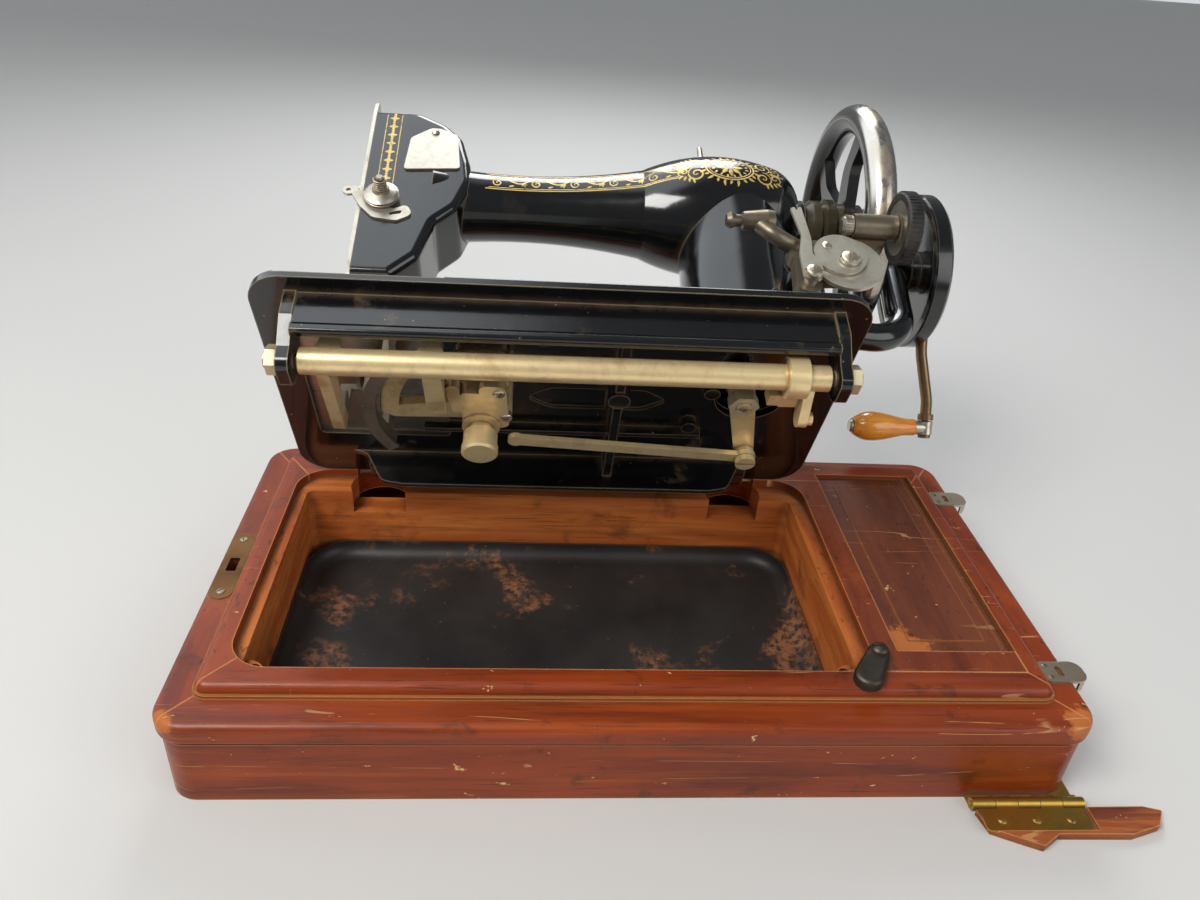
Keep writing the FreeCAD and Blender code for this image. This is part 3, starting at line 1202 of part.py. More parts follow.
def lifter_pin():
    """Shouldered pin of the presser lifter."""
    w = 92.0
    v1 = HEAD_V0 - 0.4
    pin = mrod((PRESSER_X, HEAD_V0 + 4, w), (PRESSER_X, v1 - 7.0, w), 2.4)
    head = mrod((PRESSER_X, v1 - 6.2, w), (PRESSER_X, v1 - 8.0, w), 4.0)
    return fuse(pin, head)


def take_up_lever():
    """Take-up lever beside the face plate with its thread eye."""
    x1 = HEAD_X0 - FACE_PLATE - 0.4
    bar = link((78.0, 140.0), (98.0, 142.0), 4.2, 3.2, on_vw(x1 - 2.0), Vec(2.0, 0, 0))
    eye = link((x1 - 3.2, 142.0), (x1 - 9.0, 141.0), 3.0, 3.6, on_xw(96.0), Vec(0, -1.8, 0))
    hole = mrod((x1 - 9.0, 90, 141.0), (x1 - 9.0, 110, 141.0), 1.5)
    pivot = mrod((x1 - 4, 78.0, 140.0), (x1 + 1, 78.0, 140.0), 1.8 + PIN_FIT)
    return fuse(bar, eye).cut(hole).cut(pivot)


def take_up_pin():
    """Shouldered screw of the take-up lever."""
    x1 = HEAD_X0 - FACE_PLATE
    pin = mrod((x1, 78.0, 140.0), (x1 - 2.8, 78.0, 140.0), 1.8)
    head = mrod((x1 - 2.7, 78.0, 140.0), (x1 - 4.2, 78.0, 140.0), 3.4)
    return fuse(pin, head)


def tension_unit():
    """Tension stud, and the discs with their looped thread plate."""
    stud = turned([(0, 2.6), (8, 2.6), (8, 2.4), (24, 2.4), (25, 1.8)],
                  mp(TENSION_X, HEAD_V1 - 8, TENSION_W), Vec(0, -1, 0))
    v0 = HEAD_V1 + 0.1
    plate = slab([(-165, 126), (-158, 128), (-150, 116), (-138, 113), (-131, 117),
                  (-127, 109), (-136, 103), (-150, 105), (-158, 114)],
                 [2.5, 2.5, 4, 3, 3, 4, 4, 6, 5], on_xw(v0), Vec(0, -1.4, 0))
    disc = turned([(0, 9.5), (1.6, 10.2), (2.4, 8.5), (3.4, 10.2), (4.6, 8.6), (5.6, 5.0),
                   (7.0, 4.4)],
                  mp(TENSION_X, v0 + 1.3, TENSION_W), Vec(0, -1, 0))
    window = slab([(-141, 107), (-134, 109), (-133, 112), (-140, 110)], 0.8,
                  on_xw(v0 - 1), Vec(0, -4, 0))
    body = fuse(plate, disc).cut(window)
    return fuse(body, stud)


def spool_pin():
    """Tapered spool pin on top of the arm."""
    return turned([(0, 2.1), (16, 2.1), (16, 3.2), (17.5, 3.2), (17.5, 2.2),
                   (SPOOL_PIN_TOP - 172, 1.7), (SPOOL_PIN_TOP - 170, 0.8)],
                  mp(SPOOL_PIN_X, ARM_V, 170), Vec(0, 0, 1))


# Handwheel and hand crank

def handwheel():
    """Spoked handwheel with a round bright rim and a long hub."""
    centre = mp(WHEEL_X, WHEEL_V, WHEEL_W)
    rim = Part.makeTorus(WHEEL_RADIUS - RIM_SECTION, RIM_SECTION, centre, Vec(1, 0, 0))
    hub = turned([(0, 13.0), (4, 16.5), (9, 16.5), (11, 14), (13, 17.5), (18, 17.5),
                  (20, HUB_RADIUS), (36, HUB_RADIUS), (39, 12.0)],
                 mp(WHEEL_X - 27, WHEEL_V, WHEEL_W), Vec(1, 0, 0))
    body = hub.fuse(rim)
    inner = WHEEL_RADIUS - 2 * RIM_SECTION + 3.0
    blade = slab([(8, -7), (34, -13), (inner, -6), (inner, 7), (40, -1), (12, 8)],
                 [0, 20, 0, 0, 16, 4], lambda a, b: Vec(WHEEL_X - 4, a, b), Vec(7, 0, 0))
    for k in range(SPOKES):
        spoke = blade.copy()
        spoke.rotate(Vec(0, 0, 0), Vec(1, 0, 0), 360.0 / SPOKES * k + 20)
        spoke.translate(Vec(0, centre.y, centre.z))
        body = body.fuse(spoke)
    body = body.removeSplitter()
    return body.cut(mrod((WHEEL_X - 40, WHEEL_V, WHEEL_W), (WHEEL_X + 40, WHEEL_V, WHEEL_W),
                         AXLE_RADIUS + AXLE_FIT))


def arm_shaft():
    """End of the arm shaft, which turns with the handwheel in the arm's bearing."""
    return mrod((ARM_SHAFT_X0, WHEEL_V, WHEEL_W), (WHEEL_X + 26, WHEEL_V, WHEEL_W),
                AXLE_RADIUS)


def clutch_nut():
    """Knurled stop-motion nut outside the handwheel hub."""
    start = mp(WHEEL_X + 12.6, WHEEL_V, WHEEL_W)
    body = turned([(0, 12.0), (1, 13.0), (7, 13.0), (8, 12.0)], start, Vec(1, 0, 0))
    for k in range(12):
        turn = math.radians(30 * k)
        centre = start + Vec(-1, 14.6 * math.cos(turn), 14.6 * math.sin(turn))
        body = body.cut(Part.makeCylinder(2.4, 12, centre, Vec(1, 0, 0)))
    return body.cut(mrod((WHEEL_X, WHEEL_V, WHEEL_W), (WHEEL_X + 40, WHEEL_V, WHEEL_W),
                         AXLE_RADIUS + AXLE_FIT))


def crank_bracket():
    """Cast bracket from the pillar foot out to the crank shaft."""
    path = [mp(BRACKET_X + 1.5, 88, 49), mp(168, 82, 49), mp(176, 74, CRANK_W)]
    tube = bent_rod(path, [24.0], 8.5)
    boss = mrod((170, CRANK_V, CRANK_W), (CRANK_WHEEL_X0 - 0.6, CRANK_V, CRANK_W), 14.0)
    flange = mrod((BRACKET_X, 88, 49), (BRACKET_X + 5, 88, 49), 12.5)
    strap = link((CRANK_V, CRANK_W), (WHEEL_V, WHEEL_W), 11.0, 9.0, on_vw(172.2),
                 Vec(6.0, 0, 0))
    body = fuse(tube, boss, flange, strap)
    shaft = mrod((CRANK_WHEEL_X0 - 15, CRANK_V, CRANK_W),
                 (CRANK_WHEEL_X1 + 10, CRANK_V, CRANK_W), CRANK_SHAFT_RADIUS + PIN_FIT)
    return body.cut(shaft)


def crank_wheel():
    """Dished driving wheel with a ring of inward teeth."""
    x0, x1 = CRANK_WHEEL_X0, CRANK_WHEEL_X1
    disc = turned([(0, CRANK_WHEEL_RADIUS - 1), (1, CRANK_WHEEL_RADIUS),
                   (x1 - x0 - 2, CRANK_WHEEL_RADIUS), (x1 - x0, CRANK_WHEEL_RADIUS - 2)],
                  mp(x0, CRANK_V, CRANK_W), Vec(1, 0, 0))
    ring = turned([(0, CRANK_WHEEL_RADIUS - 6), (6.5, CRANK_WHEEL_RADIUS - 6)],
                  mp(x0 - 0.5, CRANK_V, CRANK_W), Vec(1, 0, 0))
    body = disc.cut(ring.cut(mrod((x0 - 1, CRANK_V, CRANK_W), (x1, CRANK_V, CRANK_W), 13)))
    dish = turned([(0, 38.0), (1.6, 36.0)], mp(x1 + 0.01, CRANK_V, CRANK_W), Vec(-1, 0, 0))
    hub = mrod((x0, CRANK_V, CRANK_W), (x1 + 0.8, CRANK_V, CRANK_W), 12.0)
    body = body.cut(dish).fuse(hub).removeSplitter()
    return body.cut(mrod((x0 - 2, CRANK_V, CRANK_W), (x1 + 5, CRANK_V, CRANK_W),
                         CRANK_SHAFT_RADIUS))


def crank_point(distance, x, side=0.0):
    """Point at a distance along the crank arm, in the machine frame."""
    turn = math.radians(CRANK_REST)
    return mp(x, CRANK_V + distance * math.cos(turn) - side * math.sin(turn),
              CRANK_W + distance * math.sin(turn) + side * math.cos(turn))


def crank_arm():
    """Bent crank arm on its shaft, ending in the fork of the folding grip."""
    x1 = CRANK_WHEEL_X1
    shaft = rod(crank_point(0, x1 + 9), crank_point(0, 172.5), CRANK_SHAFT_RADIUS)
    boss = rod(crank_point(0, x1 + 1.2), crank_point(0, x1 + 8.0), 9.0)
    path = [crank_point(0, x1 + 4.5), crank_point(52, x1 + 4.5),
            crank_point(84, CRANK_END_X), crank_point(CRANK_LENGTH + 3.5, CRANK_END_X)]
    bar = bent_rod(path, [40.0, 30.0], 3.6)
    end = rod(crank_point(CRANK_LENGTH - 9, CRANK_END_X),
              crank_point(CRANK_LENGTH - 5.2, CRANK_END_X), 5.0)
    body = fuse(shaft, boss, bar, end)
    cut = rod(crank_point(CRANK_LENGTH - 5.2, CRANK_END_X),
              crank_point(CRANK_LENGTH + 8, CRANK_END_X), 9.0)
    pin = rod(crank_point(CRANK_LENGTH - 6, CRANK_END_X),
              crank_point(CRANK_LENGTH + 6.0, CRANK_END_X), 2.0)
    cap = rod(crank_point(CRANK_LENGTH + 4.8, CRANK_END_X),
              crank_point(CRANK_LENGTH + 6.8, CRANK_END_X), 4.0)
    return fuse(body.cut(cut), pin, cap)


def grip_parts():
    """Folding knuckle with its spindle, and the turned wooden grip."""
    knuckle = rod(crank_point(CRANK_LENGTH - 4.2, CRANK_END_X),
                  crank_point(CRANK_LENGTH + 4.4, CRANK_END_X), 5.0)
    spindle = rod(crank_point(CRANK_LENGTH, CRANK_END_X),
                  crank_point(CRANK_LENGTH, GRIP_INNER_X + 1.6), 2.4)
    collar = rod(crank_point(CRANK_LENGTH, CRANK_END_X),
                 crank_point(CRANK_LENGTH, CRANK_END_X - 7.5), 4.8)
    tip = turned([(0, 0), (0.4, 3.4), (1.5, 4.4), (2.2, 4.4)],
                 crank_point(CRANK_LENGTH, GRIP_INNER_X), Vec(1, 0, 0))
    core = fuse(knuckle, spindle, collar, tip)
    core = core.cut(rod(crank_point(CRANK_LENGTH - 6, CRANK_END_X),
                        crank_point(CRANK_LENGTH + 6, CRANK_END_X), 2.0 + PIN_FIT))
    start = GRIP_INNER_X + 2.5
    length = CRANK_END_X - 7.9 - start
    grip = turned([(0, 5.2), (length * 0.08, 7.4), (length * 0.22, GRIP_RADIUS),
                   (length * 0.40, GRIP_RADIUS), (length * 0.62, 7.9),
                   (length * 0.80, 6.2), (length * 0.92, 5.6), (length, 5.6)],
                  crank_point(CRANK_LENGTH, start), Vec(1, 0, 0), smooth=True)
    grip = grip.cut(rod(crank_point(CRANK_LENGTH, start - 2),
                        crank_point(CRANK_LENGTH, start + length + 2), 2.4 + PIN_FIT))
    return core, grip


# Bobbin winder

def winder_post():
    """Post on the pillar that carries the winder."""
    x, w, v = WINDER_POST_X, WINDER_POST_W, WINDER_V
    post = mrod((x, ARM_V + 19, w), (x, v - 13.0, w), 7.5)
    collar = mrod((x, v - 17.0, w), (x, v - 13.0, w), 10.0)
    pin = mrod((x, v - 13.0, w), (x, v - 4.0, w), 3.0)
    return fuse(post, collar, pin)


def winder_frame():
    """Curved winder frame with the tailstock and the spindle bearing."""
    w = WINDER_W
    v = WINDER_V - 12.6
    post_x, post_w = WINDER_POST_X, WINDER_POST_W
    pin_x, pin_w = LEVER_PIN_X, LEVER_PIN_W
    plate = slab([(82, w - 20), (98, w - 36), (122, w - 34), (130, w - 12), (138, w - 7),
                  (138, w + 8), (122, w + 8), (114, w - 8), (82, w - 8)],
                 [6, 8, 8, 8, 5, 5, 5, 8, 6], on_xw(v), Vec(0, -8.4, 0))
    lug = link((pin_x, pin_w), (post_x, w - 20), 7.0, 8.0, on_xw(v), Vec(0, -8.4, 0))
    bearing = mrod((118, WINDER_V, w), (142, WINDER_V, w), 6.8)
    neck = mbox(120, 138, WINDER_V - 9, WINDER_V, w - 5, w + 5)
    arm_path = [mp(post_x - 2, WINDER_V - 8, w - 13), mp(74, WINDER_V, w - 11),
                mp(64, WINDER_V, w)]
    swan = bent_rod(arm_path, [10.0], 4.6)
    barrel = turned([(0, 3.2), (2.4, 4.6), (5, 3.4), (8, 3.2), (9, 5.0), (22, 6.6),
                     (26, 6.2)], mp(48, WINDER_V, w), Vec(1, 0, 0))
    body = fuse(plate, lug, bearing, neck, swan, barrel)
    body = body.cut(mrod((pin_x, v - 1, pin_w), (pin_x, v + 10, pin_w), 3.4 + PIN_FIT))
    body = body.cut(mrod((CAM_X, v - 1, CAM_W), (CAM_X, v + 10, CAM_W), 4.0 + PIN_FIT))
    body = body.cut(mrod((post_x, WINDER_V - 14, post_w), (post_x, WINDER_V, post_w),
                         3.0 + PIN_FIT))
    body = body.cut(mrod((111, WINDER_V, w), (118, WINDER_V, w), CHUCK_RADIUS + 0.6))
    return body.cut(mrod((110, WINDER_V, w), (150, WINDER_V, w), WINDER_SHAFT + PIN_FIT))


def winder_spindle():
    """Spindle with its knurled chuck and the pulley disc."""
    w = WINDER_W
    shaft = mrod((112, WINDER_V, w), (RING_X + RING_WIDTH / 2 + 3, WINDER_V, w), WINDER_SHAFT)
    chuck = turned([(0, 3.0), (0.6, 4.8), (5.6, CHUCK_RADIUS)], mp(112, WINDER_V, w),
                   Vec(1, 0, 0))
    disc = turned([(0, 6.0), (0, RING_RADIUS - 4.5), (RING_WIDTH - 1, RING_RADIUS - 4.5),
                   (RING_WIDTH - 1, 6.0), (RING_WIDTH + 1, 5.0)],
                  mp(RING_X - RING_WIDTH / 2 + 0.5, WINDER_V, w), Vec(1, 0, 0))
    return fuse(shaft, chuck, disc)


def winder_ring():
    """Rubber tyre of the winder pulley."""
    start = mp(RING_X - RING_WIDTH / 2, WINDER_V, WINDER_W)
    body = turned([(0, RING_RADIUS - 1.2), (1.2, RING_RADIUS),
                   (RING_WIDTH - 1.2, RING_RADIUS), (RING_WIDTH, RING_RADIUS - 1.2)],
                  start, Vec(1, 0, 0))
    return body.cut(mrod((RING_X - 20, WINDER_V, WINDER_W), (RING_X + 20, WINDER_V, WINDER_W),
                         RING_RADIUS - 4.5))


def winder_cam():
    """Pair of eccentric winder plates on one axis."""
    v0 = WINDER_V - 3.6
    big = mrod((CAM_X, v0, CAM_W), (CAM_X, v0 + 2.2, CAM_W), CAM_RADIUS)
    small = mrod((CAM_X - 4, v0 + 2.2, CAM_W + 4), (CAM_X - 4, v0 + 4.4, CAM_W + 4), 14.5)
    head = mrod((CAM_X, v0 + 4.4, CAM_W), (CAM_X, v0 + 6.4, CAM_W), 5.6)
    stub = mrod((CAM_X, v0 - 4.0, CAM_W), (CAM_X, v0, CAM_W), 4.0)
    slot = mbox(CAM_X - 7, CAM_X + 7, v0 + 5.6, v0 + 8, CAM_W - 0.6, CAM_W + 0.6)
    return fuse(big, small, head, stub).cut(slot)


def winder_lever():
    """Thin thread-guide lever with a forked tip beside the cam."""
    v0 = WINDER_V + 1.6
    x, w = LEVER_PIN_X, LEVER_PIN_W
    blade = slab([(x - 5.5, w - 4), (x + 4.5, w - 6), (x + 5.5, w + 6), (x + 1.5, w + 14),
                  (x + 2.5, w + 26), (x + 0.5, w + 50), (x - 1.5, w + 49), (x - 2, w + 46),
                  (x - 3.5, w + 50), (x - 5.5, w + 48), (x - 2.5, w + 28), (x - 5.5, w + 14)],
                 [4, 4, 3, 4, 4, 0.8, 0.4, 0.4, 0.8, 0.8, 3, 3], on_xw(v0), Vec(0, -1.6, 0))
    screw = mrod((x, v0 + 1.6, w), (x, v0 + 3.4, w), 5.0)
    slot = mbox(x - 6.5, x + 6.5, v0 + 2.8, v0 + 5, w - 0.6, w + 0.6)
    back = mrod((x, v0 - 14.4, w), (x, v0, w), 3.4)
    return fuse(blade, screw, back).cut(slot)


# Assembly

def build():
    """Every node of the assembly by name, in the world frame."""
    nodes = {}
    front, right, back, left = side_boards()
    nodes["front_board"] = front
    nodes["right_board"] = right
    nodes["back_board"] = back
    nodes["left_board"] = left
    nodes["bottom_panel"] = bottom_panel()
    front, right, back, left, divider = top_frame()
    for hole in lid_trunnions(LID_PIN_RADIUS + PIN_FIT, 6.5):
        divider = divider.cut(hole)
        back = back.cut(hole)
    px, py = BUTTON_PIVOT
    screw_hole = rod(Vec(px, py, TOP_Z - 12), Vec(px, py, TOP_Z + 1), 2.0)
    divider = divider.cut(screw_hole)
    nodes["front_rail"] = front
    nodes["right_rail"] = right
    nodes["back_rail"] = back
    nodes["left_rail"] = left
    nodes["divider_rail"] = divider
    front, left, back, right = well_walls()
    nodes["well_front_wall"] = front
    nodes["well_left_wall"] = left
    nodes["well_back_wall"] = back
    nodes["well_right_wall"] = right
    nodes["drip_tray"] = drip_tray()
    nodes["corner_posts"] = corner_posts()
    nodes["hinge_fittings"] = Part.makeCompound(
        hinge_pin_shapes(HINGE_PIN_RADIUS) + hinge_straps())
    nodes["lock_plate"] = lock_plate()
    nodes["catch_plates"] = catch_plates()
    nodes["compartment_lid"] = compartment_lid()
    nodes["turn_button"] = turn_button()
    nodes["turn_button_screw"] = turn_button_screw()
    fixed, swing, wood = butt_hinge()
    nodes["butt_leaf"] = fixed
    nodes["flap_leaf"] = swing
    nodes["flap_moulding"] = wood
    machine = {"bed": bed(), "rock_shaft": rock_shaft(), "pivot_screws": pivot_screws(),
               "feed_dog": feed_dog(),
               "carrier_bracket": carrier_bracket(), "shuttle_carrier": shuttle_carrier(),
               "shuttle_race": shuttle_race(), "shuttle": shuttle(),
               "shuttle_lever": shuttle_lever(), "pitman": pitman(), "arm": arm(),
               "face_plate": face_plate(),
               "head_cover": head_cover(), "needle_bar": needle_bar(),
               "presser_bar": presser_bar(),
               "presser_lifter": presser_lifter(),
               "take_up_lever": take_up_lever(),
               "spool_pin": spool_pin(), "handwheel": handwheel(),
               "arm_shaft": arm_shaft(),
               "clutch_nut": clutch_nut(), "crank_bracket": crank_bracket(),
               "crank_wheel": crank_wheel(), "crank_arm": crank_arm(),
               "winder_frame": winder_frame(),
               "winder_spindle": winder_spindle(), "winder_ring": winder_ring(),
               "winder_cam": winder_cam(), "winder_lever": winder_lever()}
    machine["needle_plate"], machine["front_slide"], machine["rear_slide"] = slide_plates()
    machine["tension_unit"] = tension_unit()
    machine["grip_knuckle"], machine["crank_grip"] = grip_parts()
    for name, shape in machine.items():
        nodes[name] = seat(shape)
    return nodes


def main():
    """Write one STEP file per node."""
    os.makedirs("parts", exist_ok=True)
    for name, shape in build().items():
        shape.exportStep("parts/" + name + ".step")


main()
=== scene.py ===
import json
import logging
import math
from dataclasses import dataclass
from enum import Enum
from typing import Callable, Iterator, Sequence

import bmesh
import bpy
from mathutils import Matrix, Vector
from mathutils.bvhtree import BVHTree


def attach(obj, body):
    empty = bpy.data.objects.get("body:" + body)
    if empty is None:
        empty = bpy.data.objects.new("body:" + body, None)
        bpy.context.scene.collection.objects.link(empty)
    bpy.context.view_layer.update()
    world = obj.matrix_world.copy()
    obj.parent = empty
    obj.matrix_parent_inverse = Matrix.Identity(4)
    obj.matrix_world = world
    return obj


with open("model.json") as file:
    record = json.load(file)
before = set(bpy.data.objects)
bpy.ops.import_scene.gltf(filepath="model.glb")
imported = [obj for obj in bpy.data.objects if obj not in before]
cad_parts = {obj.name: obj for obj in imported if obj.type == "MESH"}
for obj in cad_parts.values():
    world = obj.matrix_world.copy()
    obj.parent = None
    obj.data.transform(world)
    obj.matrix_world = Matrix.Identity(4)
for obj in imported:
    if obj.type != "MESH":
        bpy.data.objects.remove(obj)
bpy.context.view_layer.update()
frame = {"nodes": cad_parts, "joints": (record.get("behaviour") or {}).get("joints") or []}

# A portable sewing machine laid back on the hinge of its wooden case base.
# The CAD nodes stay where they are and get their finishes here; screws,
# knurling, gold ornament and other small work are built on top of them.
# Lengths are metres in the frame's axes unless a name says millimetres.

MM = 0.001
Thing = bpy.types.Object
Mesh = bpy.types.Mesh
Material = bpy.types.Material
Socket = bpy.types.NodeSocket
NODES: dict[str, Thing] = frame["nodes"]
LOG = logging.getLogger("case")

Colour = tuple[float, float, float]
Point = tuple[float, float, float]
Coat = tuple[object, float, Colour]
Feeds = dict[str, object]


def tone(red: int, green: int, blue: int) -> Colour:
    """Turn a screen colour of 0 to 255 into the linear colour a shader takes."""
    parts = []
    for part in (red, green, blue):
        c = part / 255
        parts.append(c / 12.92 if c <= 0.04045 else ((c + 0.055) / 1.055) ** 2.4)
    return parts[0], parts[1], parts[2]


def link(name: str, data: bpy.types.ID) -> Thing:
    """Put new data in the scene as an object."""
    made = bpy.data.objects.new(name, data)
    bpy.context.scene.collection.objects.link(made)
    return made


def mesh_from(name: str, form: bmesh.types.BMesh) -> Mesh:
    """Turn finished work into a mesh and free the work."""
    made = bpy.data.meshes.new(name)
    form.to_mesh(made)
    form.free()
    return made


def applied(thing: Thing) -> Mesh:
    """Mesh of an object as its modifiers leave it."""
    ready = thing.evaluated_get(bpy.context.evaluated_depsgraph_get())
    return bpy.data.meshes.new_from_object(ready)


class Along(Enum):
    """Which way the grain of a board runs."""

    X = (1.0, 9.0, 9.0)
    Y = (9.0, 1.0, 9.0)


# Node trees

class Tree:
    """Lays out the nodes of one tree and joins their sockets."""

    def __init__(self, tree: bpy.types.NodeTree) -> None:
        """Keep the tree that the nodes go into."""
        self.tree = tree

    def node(self, kind: str, feeds: dict | None = None, **settings: object) -> bpy.types.Node:
        """Add a node.

        Args:
            kind: Blender's name of the node type.
            feeds: What each input gets, by the input's name or number.
            settings: Properties of the node to set.
        Returns:
            The new node.
        """
        made = self.tree.nodes.new(kind)
        for name, value in settings.items():
            setattr(made, name, value)
        for name, value in (feeds or {}).items():
            self.feed(made.inputs[name], value)
        return made

    def feed(self, socket: Socket, value: object) -> None:
        """Join a socket to another, or set its constant."""
        if isinstance(value, Socket):
            self.tree.links.new(value, socket)
        elif isinstance(value, tuple) and len(value) == 3 and socket.type == "RGBA":
            socket.default_value = (*value, 1.0)
        else:
            socket.default_value = value


class Bench(Tree):
    """A shader tree, with the steps that the finishes are made of."""

    def noise(self, vector: object, scale: object, detail: float = 3.0,
              rough: float = 0.55, distort: float = 0.0) -> Socket:
        """Noise of 0 to 1 at a scale in turns per metre."""
        return self.node("ShaderNodeTexNoise", {
            "Vector": vector, "Scale": scale, "Detail": detail, "Roughness": rough,
            "Distortion": distort}).outputs["Fac"]

    def math(self, kind: str, first: object, second: object = 0.5) -> Socket:
        """One step of arithmetic on two values."""
        return self.node("ShaderNodeMath", {0: first, 1: second}, operation=kind).outputs[0]

    def times(self, first: object, second: object) -> Socket:
        """The product of two values."""
        return self.math("MULTIPLY", first, second)

    def most(self, first: object, *others: object) -> object:
        """The greatest of some values."""
        for other in others:
            first = self.math("MAXIMUM", first, other)
        return first

    def vector(self, kind: str, *feeds: object) -> bpy.types.Node:
        """One step of vector arithmetic."""
        return self.node("ShaderNodeVectorMath", dict(enumerate(feeds)), operation=kind)

    def step(self, value: object, low: object, high: object) -> Socket:
        """A soft step from 0 at low to 1 at high."""
        return self.node("ShaderNodeMapRange", {
            "Value": value, "From Min": low, "From Max": high},
            interpolation_type="SMOOTHSTEP").outputs["Result"]

    def blend(self, mask: object, under: object, over: object) -> Socket:
        """Lay one colour over another through a mask."""
        return self.node("ShaderNodeMix", {0: mask, 6: under, 7: over},
                         data_type="RGBA").outputs[2]

    def layers(self, colour: object, *coats: Coat) -> object:
        """Lay coats over a colour, each a mask, its share and its own colour."""
        for mask, share, over in coats:
            colour = self.blend(self.times(mask, share), colour, over)
        return colour

    def fade(self, mask: object, under: object, over: object) -> Socket:
        """Go from one value to another through a mask."""
        return self.node("ShaderNodeMix", {0: mask, 2: under, 3: over},
                         data_type="FLOAT").outputs[0]

    def place(self, scale: Point = (1, 1, 1), shift: Point = (0, 0, 0),
              vector: object = None) -> Socket:
        """Object coordinates, stretched and shifted."""
        vector = vector or self.node("ShaderNodeTexCoord").outputs["Object"]
        return self.node("ShaderNodeMapping", {
            "Vector": vector, "Scale": scale, "Location": shift}).outputs[0]

    def relief(self, height: object, depth: float) -> Socket:
        """Normal of a surface raised by a height map of 0 to 1, deep at 1."""
        return self.node("ShaderNodeBump", {
            "Strength": 1.0, "Distance": depth, "Height": height}).outputs[0]

    def use(self, group: bpy.types.NodeTree, *values: object) -> list[Socket]:
        """Outputs of a shared effect, with its inputs in the effect's order."""
        made = self.node("ShaderNodeGroup", node_tree=group)
        for socket, value in zip(made.inputs, values):
            self.feed(socket, value)
        return list(made.outputs)

    def mask(self, group: bpy.types.NodeTree, *values: object) -> Socket:
        """The one mask that a shared effect gives."""
        return self.use(group, *values)[0]


